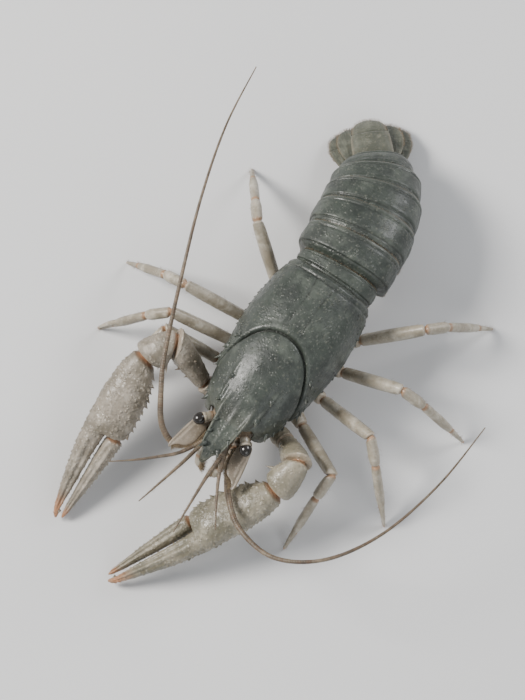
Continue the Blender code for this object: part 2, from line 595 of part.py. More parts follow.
def leaf(origin, shift, way, across, above, normal, stations, bend=0.0, sides=12, arch=0.0, ridge=0.0):
    """The rings of a thin vane with a low ridge along its middle.

    A station is (distance, reach to one side, reach to the other, half thickness). The root lies in the
    plane of the normal through its origin, however far it is shifted aside. The bend lowers the
    vane's sides, and the arch lowers its end.
    """
    origin = origin + shift - way * (shift.dot(normal) / way.dot(normal))
    rings = []
    for distance, left, right, thick in stations:
        middle, half = (left - right) / 2, (left + right) / 2
        shear = max(0.0, 1 - distance / VANE_MITRE)
        ring = []
        for i in range(sides):
            angle = 2 * math.pi * i / sides
            x = middle + half * power(math.cos(angle), 0.8)
            up = thick * power(math.sin(angle), 0.9)
            up -= bend * (x / VANE_BEND_WIDTH) ** 2 + arch * distance ** 2
            if 4 * i == sides:
                up += ridge * min(1.0, distance / VANE_MITRE)
            offset = across * x + above * up
            slide = shear * -offset.dot(normal) / way.dot(normal)
            ring.append(origin + offset + way * (distance + slide))
        rings.append(ring)
    return rings


def make_fan(material):
    """The tail fan: the middle vane, and an inner and an outer one on each side below it."""
    joints, _, planes = tail_line()
    way = tail_way(FAN_PITCH, FAN_YAW)
    across, above = tail_frame(way)
    normal = planes[-1]
    start = joints[-1] + way * (GAP / 2 / way.dot(normal))
    spikes = []
    for sign in SIDES.values():
        root = start + above * 2.2 + way * 8.4 + across * (sign * 4.5)
        spikes.append(spine(root, way + across * (sign * 0.35), 0.45, 1.6, sides=4, sink=0.9))
    rings = leaf(start, above * TELSON_LIFT, way, across, above, normal, TELSON, bend=0.6, arch=VANE_ARCH)
    node("telson", rings, material, spikes, vane=True)
    for side, sign in SIDES.items():
        for part, stations, out, low, spread in FAN_PLACES:
            turned = Matrix.Rotation(-math.radians(spread) * sign, 3, above) @ way
            shift = above * low + across * (sign * out)
            here = [(d, a, b, t) if side == "left" else (d, b, a, t) for d, a, b, t in stations]
            rings = leaf(start, shift, turned, turned.cross(above), above, normal, here, bend=0.5,
                         arch=VANE_ARCH, ridge=VANE_RIDGE)
            node(f"tail_fan_{side}_{part}", rings, material, vane=True)


def heading(side, degrees):
    """A level direction, given in degrees forward of straight out to that side."""
    angle = math.radians(degrees)
    return mirrored((math.cos(angle), -math.sin(angle), 0), side)


def leg_joints(side, number):
    """The joints of a walking leg, from the sternum to the floor."""
    leg = LEGS[side, number]
    hip, normal = sternum_side(HIP_Y[number], side)
    out = heading(side, leg["upper"])
    coxa = hip + heading(side, leg["upper"] * 0.4) * 3.2 - UP
    ischium = coxa + out * 4.6 + UP * 0.6
    rise = leg["knee"] - ischium.z
    knee = ischium + out * math.sqrt(leg["thigh"] ** 2 - rise ** 2) + UP * rise
    down = heading(side, leg["lower"])
    foot = knee + down * math.sqrt(leg["shin"] ** 2 - leg["knee"] ** 2)
    foot.z = 0
    chord = foot - knee
    outward = (down * leg["knee"] + UP * chord.dot(down)).normalized()
    wrist = knee + chord * 0.25 + outward * (leg["shin"] * 0.075)
    ankle = knee + chord * 0.72 + outward * (leg["shin"] * 0.045)
    return normal, hip, coxa, ischium, knee, wrist, ankle, foot


def leg_thumb(wrist, ankle, foot):
    """The small second finger of a pincer leg, above the first."""
    shank = (ankle - wrist).normalized()
    finger = foot - ankle
    aside = (foot - wrist).cross(UP).normalized()
    inward = aside.cross(finger).normalized()
    root = ankle - shank * 2.4 + inward * 0.55
    knuckle = ankle + finger * 0.12 + inward * 1.35
    tip = foot - finger * 0.1 + inward * 0.75
    return limb([root, knuckle, tip], LEG_THUMB, first_gap=0, last_gap=0, sides=6)


def make_leg(side, number, material):
    normal, hip, coxa, ischium, knee, wrist, ankle, foot = leg_joints(side, number)
    knee_plane = ((knee - ischium).normalized() + (wrist - knee).normalized()).normalized()
    upper = limb([hip, coxa, ischium, knee], LEG_UPPER, first_normal=normal, last_normal=knee_plane,
                 first_gap=GAP)
    node(f"leg_{number}_{side}_upper", upper, material)
    pincer = number <= LAST_PINCER_LEG
    deep = LEG_PALM_DEPTH[pincer]
    shank = ((0, 1.0, 1.1), (0.2, 1.1, deep), (0.7, 1.1, deep), (1, 0.8, LEG_ANKLE_DEPTH[pincer]))
    lower = limb([knee, wrist, ankle, foot], (LEG_WRIST, shank, LEG_TIP), first_normal=knee_plane,
                 last_normal=-UP, last_gap=0)
    for point in lower[-1]:
        point.z = 0.0
    thumb = [leg_thumb(wrist, ankle, foot)] if pincer else []
    node(f"leg_{number}_{side}_lower", lower, material, thumb)


def make_arm_upper(side, shoulder, elbow, first_plane, last_plane, material):
    """The upper arm, with two spines on its inner edge and one on top."""
    way = (elbow - shoulder).normalized()
    inner = (FORWARD - way * FORWARD.dot(way)).normalized()
    top = inner.cross(way).normalized() * SIDES[side]
    spikes = [spine(shoulder.lerp(elbow, 0.56) + inner * 2.5, inner + way * 0.25, 0.6, 1.9, sink=1.0),
              spine(shoulder.lerp(elbow, 0.34) + inner * 2.2, inner + way * 0.3, 0.5, 1.4, sink=1.0),
              spine(shoulder.lerp(elbow, 0.62) + top * 3.2, top + way * 0.4, 0.5, 1.5, sink=1.0)]
    rings = limb([shoulder, elbow], [ARM_UPPER], first_normal=first_plane, last_normal=last_plane, sides=12)
    node(f"claw_arm_{side}_upper", rings, material, spikes)


def make_arm_wrist(side, elbow, wrist, first_plane, last_plane, material):
    """The wrist piece, with a strong spine on its inner side and one below it."""
    way = (wrist - elbow).normalized()
    inward = mirrored((-1, 0, 0), side)
    inner = (inward - way * inward.dot(way)).normalized()
    middle = elbow.lerp(wrist, 0.55)
    spikes = [spine(middle + inner * 3.4, inner + way * 0.25, 0.75, 2.3, sink=1.4),
              spine(middle + inner * 2.4 - UP * 2.4, inner - UP * 0.7, 0.6, 1.6)]
    rings = limb([elbow, wrist], [ARM_WRIST], first_normal=first_plane, last_normal=last_plane, sides=12)
    node(f"claw_arm_{side}_wrist", rings, material, spikes)


def make_claw(side, wrist, tip, wrist_plane, material):
    """The palm with its fixed finger on the outer side, and the moving finger on the inner side."""
    way = (tip - wrist).normalized()
    length = (tip - wrist).length
    level = way.cross(UP).normalized() * SIDES[side]
    inner = Matrix.Rotation(CLAW_ROLL * SIDES[side], 3, way) @ level
    upward = inner.cross(way).normalized() * SIDES[side]
    span = [(share, (outer + inside) / 2, depth, (inside - outer) / 2, lift)
            for share, outer, inside, depth, lift in PALM]
    rings = limb([wrist, tip], [span], first_normal=wrist_plane, last_gap=0, sides=14, side_hint=inner,
                 squareness=2.2)
    inner_reach = [(station[0], station[2]) for station in PALM[:PALM_STATIONS_TO_KNUCKLE]]
    draw = random.Random(KNOB_SEEDS[side])
    knobs = []
    for i in range(PALM_KNOBS):
        share = 0.1 + 0.055 * i
        reach = read_table(inner_reach, share)
        root = wrist.lerp(tip, share) + inner * (reach - 0.5) + upward * (0.9 - 0.5 * (i % 2))
        height = 0.8 + 0.3 * draw.random()
        knobs.append(spine(root, inner + way * 0.5 + upward * 0.3, 0.6, height, sink=1.0))
    for share, reach in PALM_TEETH:
        root = wrist.lerp(tip, share) + inner * (reach - 0.35)
        knobs.append(spine(root, inner, 0.5, 0.6, sink=0.6))
    node(f"claw_{side}_palm", rings, material, knobs)

    finger_root = wrist + way * (length * (KNUCKLE_SHARE + KNUCKLE_STEP)) + inner * 3.3 - upward * 0.1
    finger_tip = wrist + way * (length * 0.985) + inner * 1.6
    rings = limb([finger_root, finger_tip], [FINGER], first_normal=way, first_gap=GAP, last_gap=0, sides=10,
                 side_hint=inner)
    node(f"claw_{side}_finger", rings, material)


def make_claw_arm(side, material):
    """The big pincer leg, from its base to the tips of its fingers."""
    arm = ARMS[side]
    hip, normal = sternum_side(ARM_HIP_Y, side)
    shoulder, elbow, wrist = (mirrored(arm[joint], side) for joint in ("shoulder", "elbow", "wrist"))
    tip = mirrored(arm["tip"], side)
    coxa = hip + normal * 2.6 + Vector((0, -0.4, 0.2))
    path = (coxa, shoulder, elbow, wrist, tip)
    ways = [(b - a).normalized() for a, b in zip(path, path[1:])]
    shoulder_plane, elbow_plane, wrist_plane = ((a + b).normalized() for a, b in zip(ways, ways[1:]))
    rings = limb([hip, coxa, shoulder], ARM_BASE, first_normal=normal, last_normal=shoulder_plane,
                 first_gap=GAP, sides=10)
    node(f"claw_arm_{side}_base", rings, material)
    make_arm_upper(side, shoulder, elbow, shoulder_plane, elbow_plane, material)
    make_arm_wrist(side, elbow, wrist, elbow_plane, wrist_plane, material)
    make_claw(side, wrist, tip, wrist_plane, material)


def make_eye(side, stalk_material, eye_material):
    root = mirrored(EYE_ROOT, side)
    way = mirrored(EYE_WAY, side).normalized()
    neck = root + way * EYE_STALK_LENGTH
    stalk = limb([root, neck], [EYE_STALK], first_normal=FORWARD, last_normal=way, first_gap=GAP, sides=12)
    node(f"eyestalk_{side}", stalk, stalk_material)
    across = way.orthogonal().normalized()
    above = way.cross(across)
    rings = []
    for share in (0.0, 0.16, 0.34, 0.52, 0.7, 0.86, 0.97):
        along = EYE_LENGTH * share
        radius = EYE_RADIUS * math.sqrt(max(0.0, 1 - ((along - 0.7) / 1.75) ** 2))
        rings.append(circle(neck + way * (along + GAP / 2), across, above, radius, EYE_SIDES))
    node(f"eye_{side}", rings, eye_material)


def make_antennule(side, material):
    """The short forked feeler beside the underside of the beak."""
    root = mirrored(ANTENNULE_ROOT, side)
    fork = root + mirrored(ANTENNULE_REACH, side)
    stem = limb([root, root.lerp(fork, 0.45), fork], ANTENNULE_STEM, first_normal=FORWARD, first_gap=GAP,
                last_gap=0)
    spans = [((0, a, a), (1, b, b)) for a, b in zip(FORK_RADII, FORK_RADII[1:])]
    whips = []
    for swing, rise, length in FEELER_FORK[side]:
        aside = heading(side, 90 - swing).cross(-UP) * (0.35 if swing > 20 else -0.25)
        points = [fork + mirrored((0.1, 1.6, -0.1), side)]
        for k in range(1, len(FORK_RADII)):
            share = k / (len(FORK_RADII) - 1)
            bend = heading(side, 90 - swing * (1 + 0.25 * share))
            lift = UP * (rise * share - 2.2 * share ** 2)
            points.append(fork + bend * (length * share) + lift + aside)
        whips.append(limb(points, spans, first_gap=0, last_gap=0, sides=6))
    node(f"antennule_{side}", stem, material, whips)


def smooth_path(points, steps):
    """Points along an even curve through the given ones."""
    path = []
    for k in range(len(points) - 1):
        before = points[max(k - 1, 0)]
        a, b = points[k], points[k + 1]
        after = points[min(k + 2, len(points) - 1)]
        for i in range(steps):
            t = i / steps
            path.append(0.5 * (2 * a + (b - before) * t + (2 * before - 5 * a + 4 * b - after) * t ** 2
                               + (3 * a - before - 3 * b + after) * t ** 3))
    path.append(points[-1].copy())
    return path


def make_antenna(side, material):
    """The long feeler: its jointed base, and a whip in three lengths."""
    root, end = mirrored(ANTENNA_ROOT, side), mirrored(ANTENNA_BASE_END, side)
    base = end - root
    path = smooth_path([end] + [Vector(p) for p in ANTENNA_PATH[side]], ANTENNA_STEPS)
    plane = (base.normalized() + (path[1] - path[0]).normalized()).normalized()
    stem = limb([root, root + base * 0.34, root + base * 0.62, end], ANTENNA_BASE, first_normal=FORWARD,
                last_normal=plane, first_gap=GAP, sides=10)
    node(f"antenna_{side}_base", stem, material)
    steps = len(path) - 1
    radii = [FEELER_ROOT + (FEELER_TIP - FEELER_ROOT) * i / steps for i in range(steps + 1)]
    cuts = [0, steps // 3, 2 * steps // 3, steps]
    planes = [plane] + [(path[cut + 1] - path[cut - 1]).normalized() for cut in cuts[1:-1]] + [None]
    for k, part in enumerate(("near", "middle", "far")):
        low, high = cuts[k], cuts[k + 1]
        spans = [((0, a, a), (1, b, b)) for a, b in zip(radii[low:high], radii[low + 1:high + 1])]
        rings = limb(path[low:high + 1], spans, first_normal=planes[k], last_normal=planes[k + 1],
                     last_gap=0 if part == "far" else GAP / 2, sides=6)
        node(f"antenna_{side}_{part}", rings, material)


def make_antenna_scale(side, material):
    """The blade over the root of the long feeler, with its outer edge drawn out into a spine."""
    way = mirrored(SCALE_WAY, side).normalized()
    across = mirrored(SCALE_ACROSS, side)
    across = (across - way * across.dot(way)).normalized()
    above = (UP - way * UP.dot(way) - across * UP.dot(across)).normalized()
    root = mirrored(SCALE_ROOT, side) + way * (GAP / way.dot(FORWARD))
    rings = leaf(root, Vector(), way, across, above, FORWARD, SCALE, sides=10)
    node(f"antenna_{side}_scale", rings, material, vane=True)


def make_mouth_leg(side, material):
    """The outer mouth leg, which lies forward under the head and bends down at its end."""
    joints = [mirrored(p, side) for p in MOUTH_LEG_JOINTS]
    rings = limb(joints, MOUTH_LEG, first_normal=FORWARD, first_gap=GAP, last_gap=0)
    node(f"mouth_leg_{side}", rings, material)


def stand_over_origin(objects):
    """Hangs every part on one empty and moves it: the origin is on the floor under the animal's middle."""
    bpy.context.view_layer.update()
    corners = [o.matrix_world @ v.co for o in objects for v in o.data.vertices]
    low = Vector([min(p[k] for p in corners) for k in range(3)])
    high = Vector([max(p[k] for p in corners) for k in range(3)])
    whole = bpy.data.objects.new("crayfish", None)
    bpy.context.scene.collection.objects.link(whole)
    for o in objects:
        o.parent = whole
    whole.location = Vector((-(low.x + high.x) / 2, -(low.y + high.y) / 2, 0))
    print("lowest point in mm", round(low.z / MM, 3), "size", [round(c / MM, 1) for c in high - low])


def main():
    for old in list(bpy.data.objects):
        bpy.data.objects.remove(old)
    shell, belly, claw, leg, feeler, fan, eye = (paint(name) for name in COLOURS)
    make_carapace(shell)
    make_sternum(belly)
    make_tail(shell)
    make_fan(fan)
    for side in SIDES:
        make_eye(side, leg, eye)
        make_antennule(side, feeler)
        make_antenna(side, feeler)
        make_antenna_scale(side, claw)
        make_mouth_leg(side, leg)
        make_claw_arm(side, claw)
        for number in HIP_Y:
            make_leg(side, number, leg)
    stand_over_origin(list(bpy.context.scene.objects))


main()
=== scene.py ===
import math
import random
import bpy
import numpy as np
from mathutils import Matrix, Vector, noise


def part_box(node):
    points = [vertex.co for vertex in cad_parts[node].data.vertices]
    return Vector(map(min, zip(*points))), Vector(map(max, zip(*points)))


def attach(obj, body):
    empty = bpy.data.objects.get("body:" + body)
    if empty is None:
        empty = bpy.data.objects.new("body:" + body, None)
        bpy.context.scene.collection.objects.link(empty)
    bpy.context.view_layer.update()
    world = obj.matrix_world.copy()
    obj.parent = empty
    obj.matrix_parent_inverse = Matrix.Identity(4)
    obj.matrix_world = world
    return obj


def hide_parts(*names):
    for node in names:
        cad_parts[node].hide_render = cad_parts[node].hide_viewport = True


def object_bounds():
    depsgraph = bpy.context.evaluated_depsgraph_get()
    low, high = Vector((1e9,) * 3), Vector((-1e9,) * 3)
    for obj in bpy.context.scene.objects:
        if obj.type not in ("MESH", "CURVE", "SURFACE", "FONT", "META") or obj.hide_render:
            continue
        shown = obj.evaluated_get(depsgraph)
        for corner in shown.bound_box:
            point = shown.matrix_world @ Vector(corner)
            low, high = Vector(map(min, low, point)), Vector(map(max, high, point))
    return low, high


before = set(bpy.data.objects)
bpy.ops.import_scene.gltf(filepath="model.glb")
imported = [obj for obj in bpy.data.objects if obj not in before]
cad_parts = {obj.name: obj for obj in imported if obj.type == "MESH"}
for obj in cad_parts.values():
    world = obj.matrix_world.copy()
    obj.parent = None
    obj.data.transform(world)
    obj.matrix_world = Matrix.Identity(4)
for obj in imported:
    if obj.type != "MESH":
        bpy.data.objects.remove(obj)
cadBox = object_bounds()

# Everything below is measured in millimetres on the animal itself: it faces -Y, its left is +X,
# the floor is z = 0, and the middle of the carapace's hind edge is x = y = 0.
mm = 0.001
up = np.array((0.0, 0.0, 1.0))
forward = np.array((0.0, -1.0, 0.0))
sides = {"left": 1, "right": -1}
sternumFrontY = -39.5
edgeRoom = 0.01  # every point stays this far inside the CAD model's box
sternumLow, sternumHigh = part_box("sternum")
frameShift = np.array(((sternumLow.x + sternumHigh.x) / 2, sternumLow.y - sternumFrontY * mm, 0.0))
boxLow, boxHigh = ((np.array(corner) - frameShift) / mm for corner in cadBox)


# Small maths

def unit(vector):
    vector = np.asarray(vector, float)
    return vector / np.linalg.norm(vector, axis=-1, keepdims=True)


def squareTo(vector, way):
    # The way of what is left of a vector square to another
    return unit(vector - way * np.dot(vector, way))


def onSide(point, side):
    return np.array((point[0] * sides[side], point[1], point[2]), float)


def ease(value, low, high):
    t = np.clip((np.asarray(value, float) - low) / (high - low), 0, 1)
    return t * t * (3 - 2 * t)


def bell(value, middle, width):
    return np.exp(-((np.asarray(value, float) - middle) / width) ** 2)


def signedPower(value, exponent):
    return np.sign(value) * np.abs(value) ** exponent


def ringTurns(count):
    return np.arange(count) * 2 * math.pi / count


def oval(count, square=2.0):
    # Across and up on an oval of so many points, with fuller corners where square is over 2
    turns = ringTurns(count)
    return signedPower(np.cos(turns), 2 / square), signedPower(np.sin(turns), 2 / square)


def spaced(marks, counts):
    # Places from the first mark to the last, with so many even steps between each two
    steps = [np.linspace(a, b, count, endpoint=False) for a, b, count in zip(marks, marks[1:], counts)]
    return np.concatenate((*steps, marks[-1:]))


def softCurve(table, column=1):
    # A smooth curve from a table's first column to another one, that never swings past its rows
    xs, ys = (np.array([row[k] for row in table], float) for k in (0, column))
    steps = np.diff(xs)
    slopes = np.diff(ys) / steps
    a, b = slopes[:-1], slopes[1:]
    bends = np.where(a * b > 0, 2 * a * b / np.where(a * b > 0, a + b, 1), 0)
    bends = np.concatenate((slopes[:1], bends, slopes[-1:]))

    def read(at):
        at = np.clip(np.asarray(at, float), xs[0], xs[-1])
        k = np.clip(np.searchsorted(xs, at, side="right") - 1, 0, len(steps) - 1)
        t = (at - xs[k]) / steps[k]
        return (ys[k] * (1 + 2 * t) * (1 - t) ** 2 + steps[k] * bends[k] * t * (1 - t) ** 2
                + ys[k + 1] * t * t * (3 - 2 * t) + steps[k] * bends[k + 1] * t * t * (t - 1))
    return read


def turned(vector, axis, angle):
    # A vector turned about an axis of length 1
    return (vector * math.cos(angle) + np.cross(axis, vector) * math.sin(angle)
            + axis * np.dot(axis, vector) * (1 - math.cos(angle)))


def smoothPath(points, steps):
    # A bent line through the points, with so many steps from each to the next
    points = np.asarray(points, float)
    held = np.vstack((points[:1], points, points[-1:]))
    a, b, c, d = (held[k:len(held) - 3 + k, None] for k in range(4))
    t = (np.arange(steps) / steps)[:, None]
    path = 2 * b + (c - a) * t + (2 * a - 5 * b + 4 * c - d) * t ** 2 + (3 * b - a - 3 * c + d) * t ** 3
    return np.vstack((path.reshape(-1, 3) / 2, points[-1:]))


def distances(path):
    # How far along a path each of its points is
    return np.concatenate(([0], np.cumsum(np.linalg.norm(np.diff(path, axis=0), axis=1))))


def valuesAt(places, along, values):
    return np.stack([np.interp(places, along, values[:, i]) for i in range(3)], 1)


def cloud(points, size, seed=0.0):
    # Slow unevenness from -1 to 1
    flat = points.reshape(-1, 3) / size + seed
    return np.array([noise.noise(p) for p in flat.tolist()]).reshape(points.shape[:-1])


def grains(points, spacing, seed=0.0):
    # Low rounded grains from 0 to 1, one in each cell of an uneven lattice
    flat = points.reshape(-1, 3) / spacing + seed
    near, own = np.empty(len(flat)), np.empty(len(flat))
    for i, p in enumerate(flat.tolist()):
        away, cells = noise.voronoi(p)
        near[i], own[i] = away[0], 0.5 + 0.5 * noise.cell(cells[0] * 5.17)
    height = ease(1 - near / (0.52 * (0.55 + 0.6 * own)), 0, 1) * (0.45 + 0.55 * own)
    return height.reshape(points.shape[:-1])


# Mesh building. Rows run along a piece and columns round it, so that its faces look outward

def gridNormals(grid, wrap=True):
    across = (np.roll(grid, -1, axis=1) - np.roll(grid, 1, axis=1)) / 2 if wrap else np.gradient(grid, axis=1)
    normals = np.cross(np.gradient(grid, axis=0), across)
    return normals / np.maximum(np.linalg.norm(normals, axis=-1, keepdims=True), 1e-9)


def quads(numbers):
    # Faces over a grid of point numbers
    near, far = numbers[:-1], numbers[1:]
    return np.stack((near[:, :-1], far[:, :-1], far[:, 1:], near[:, 1:]), -1).reshape(-1, 4).tolist()


def ringsAlong(path, columns, wide, deep=None, side=None):
    # Round or oval rings square to a bent path, without twist. side is the way to their first column
    ways = unit(np.gradient(path, axis=0))
    side = np.cross(ways[0], up + 1e-3 * forward) if side is None else side
    deep = wide if deep is None else deep
    across, rise = (part[:, None] for part in oval(columns))
    rings = []
    for middle, way, half, high in zip(path, ways, wide, deep):
        side = squareTo(side, way)
        rings.append(middle + half * across * side + high * rise * np.cross(side, way))
    return np.array(rings)


class Shape:
    # Points, faces and the tones of a piece, gathered from several surfaces

    def __init__(self):
        self.points, self.faces, self.tones, self.warms, self.maps = [], [], [], [], []
        self.count = self.skins = 0

    def add(self, points, faces, tone=0.0, warm=0.0, places=None):
        for kept, value in ((self.tones, tone), (self.warms, warm)):
            kept.append(np.broadcast_to(np.clip(value, -1, 1), np.shape(points)[:-1]).reshape(-1))
        points = np.reshape(points, (-1, 3))
        self.faces += [[i + self.count for i in face] for face in faces]
        self.points.append(points)
        self.maps.append(np.zeros((len(points), 2)) if places is None else places)
        self.count += len(points)

    def sheet(self, grid, tone=0.0, warm=0.0):
        self.add(grid, quads(np.arange(grid[..., 0].size).reshape(grid.shape[:2])), tone, warm)

    def tube(self, grid, tone=0.0, warm=0.0, out=None):
        # A closed surface through rings, raised by out along its normals, each end closed by a fan
        if out is not None:
            grid = grid + gridNormals(grid) * out[..., None]
        rows, columns = grid.shape[:2]
        numbers = np.arange(rows * columns).reshape(rows, columns)
        numbers = np.hstack((numbers, numbers[:, :1]))
        faces = quads(numbers)
        first, last = numbers[0].tolist(), numbers[-1].tolist()
        for k in range(columns):
            faces += [(first[k], first[k + 1], rows * columns), (last[k + 1], last[k], rows * columns + 1)]
        ends = [0, -1]
        tone, warm = (np.broadcast_to(np.clip(value, -1, 1), (rows, columns)) for value in (tone, warm))
        self.add(np.vstack((grid.reshape(-1, 3), grid[ends].mean(1))), faces,
                 np.append(tone, tone[ends].mean(1)), np.append(warm, warm[ends].mean(1)))

    def spike(self, root, way, radius, height, sink=1.0, bend=(0, 0, 0), tone=0.5, warm=0.25, count=14):
        # A curved thorn with a flared foot, its root sunk in what it grows from
        way = unit(way)
        across = unit(np.cross(way, (0.3, 0.2, 0.9) if abs(way[2]) < 0.9 else (1, 0, 0)))
        above = np.cross(across, way)
        share, size = np.array(spikeForm).T[:, :, None]
        along = share * height
        along[:2, 0] = -sink, -0.1 * height
        middle = root + way * along + np.multiply(bend, share ** 2 * height)
        cos, sin = (part[:, None] for part in oval(count))
        rings = middle[:, None] + (across * cos + above * sin) * radius * size[..., None]
        self.tube(rings, tone * share, warm * share)

    def piece(self, name, paint, slot, *nodes, thickness=0.0, mapped=False):
        mesh = bpy.data.meshes.new(name)
        points = np.clip(np.vstack(self.points), boxLow + edgeRoom, boxHigh - edgeRoom) * mm + frameShift
        mesh.from_pydata(points.tolist(), [], self.faces)
        for label, values in (("tone", self.tones), ("warm", self.warms)):
            layer = mesh.attributes.new(label, "FLOAT", "POINT")
            layer.data.foreach_set("value", np.concatenate(values).astype(np.float32))
        if mapped:
            corners = np.empty(len(mesh.loops), np.int32)
            mesh.loops.foreach_get("vertex_index", corners)
            layer = mesh.uv_layers.new(name="OFBake")
            layer.data.foreach_set("uv", np.vstack(self.maps)[corners].astype(np.float32).reshape(-1))
        mesh.materials.append(paints[paint])
        mesh.shade_smooth()
        made = bpy.data.objects.new(name, mesh)
        bpy.context.scene.collection.objects.link(made)
        if thickness:
            shell = made.modifiers.new("shell", "SOLIDIFY")
            shell.thickness = thickness * mm
            shell.offset = -1
            shell.use_even_offset = False
        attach(made, "root")
        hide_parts(*nodes)


# A thorn's rings: share of its height, share of its root radius. The first two stand below its foot
spikeForm = ((0, 1.5), (0, 1.3), (0, 1.12), (0.12, 0.9), (0.3, 0.72), (0.5, 0.52), (0.7, 0.33), (0.86, 0.18),
             (0.96, 0.08), (1, 0.02))
bristle = {
    "rings": ((0.0, 1.0), (0.45, 0.72), (0.8, 0.38)),  # share of its length, share of its thickness
    # On the map: squares in a row, a bristle's patch, a square's rim
    "squares": 9, "patch": 0.003, "room": 0.002,
}
bristleFaces = [(0, 2, 1), (6, 7, 9), (7, 8, 9), (8, 6, 9)] + [
    (k + a, k + b, k + b + 3, k + a + 3) for k in (0, 3) for a, b in ((0, 1), (1, 2), (2, 0))]
bristlePatch = np.array(((0, 0), (1, 0), (0.5, 1), (0, 0.3), (1, 0.3), (0.5, 0.8), (0.1, 0.6), (0.9, 0.6),
                         (0.5, 0.7), (0.5, 0.65)))


def hairs(shape, roots, ways, lengths, thickness, droop, along, around):
    # Tapered bristles. droop bends each one aside, in shares of its length. along and around say where each
    # root stands on the skin, unrolled: each skin has a square of its own on the map, one after the other
    count, ways = len(roots), unit(ways)
    lengths = np.broadcast_to(lengths, (count,))[:, None]
    across = unit(np.cross(ways, np.where(np.abs(ways[:, 2:]) < 0.8, up, forward)))
    above = np.cross(ways, across)
    points = []
    for t, size in bristle["rings"]:
        middle = roots + ways * lengths * t + droop * lengths * t * t
        points += [middle + (across * cos + above * sin) * thickness * size for cos, sin in zip(*oval(3))]
    points = np.stack((*points, roots + ways * lengths + droop * lengths), 1)
    faces = [[10 * h + i for i in face] for h in range(count) for face in bristleFaces]
    squares, patch, room = bristle["squares"], bristle["patch"], bristle["room"]
    corner = np.array((shape.skins % squares, shape.skins // squares)) / squares
    place = np.stack(np.broadcast_arrays(along, around, lengths[:, 0])[:2], 1)
    place = corner + room + place * (1 / squares - patch - 2 * room)
    shape.skins += 1
    shape.add(points, faces, places=(place[:, None] + bristlePatch * patch).reshape(-1, 2))


def edgeHairs(shape, draw, edge, each, ways, droop, lengths, thickness, jitter, spread, along=None, around=0):
    # Close bristles on an edge, so many at each of its points. Ways and droops hold for all or for each point
    roots, ways, droop = (np.repeat(np.broadcast_to(part, edge.shape), each, axis=0)
                          for part in (edge, ways, droop))
    roots = roots + draw.normal(0, jitter, roots.shape)
    ways = ways + draw.normal(0, spread, roots.shape)
    lengths = draw.uniform(*lengths, len(roots))
    if along is None:
        along = np.linspace(0, 1, len(roots))
    hairs(shape, roots, ways, lengths, thickness, droop, along, around)


def bristlesOn(shape, grid, normals, count, length, seed, lean, where=None):
    # Scattered bristles on a surface, each at a place that the share of them named by where allows
    draw = np.random.RandomState(seed)
    rows, columns = grid.shape[:2]
    r = draw.randint(int(rows * 0.08), int(rows * 0.95), count * 3)
    c = draw.randint(0, columns, count * 3)
    if where is not None:
        keep = draw.rand(len(r)) < where[r, c]
        r, c = r[keep], c[keep]
    r, c = r[:count], c[:count]
    roots = grid[r, c] - normals[r, c] * 0.06
    ways = normals[r, c] + lean + draw.normal(0, 0.16, roots.shape)
    droop = draw.normal(0, 0.12, roots.shape) + lean * 0.3
    hairs(shape, roots, ways, length * draw.uniform(0.6, 1.2, len(r)), 0.035, droop, r / rows, c / columns)


# Finishes. Colours are linear, sizes and depths in millimetres

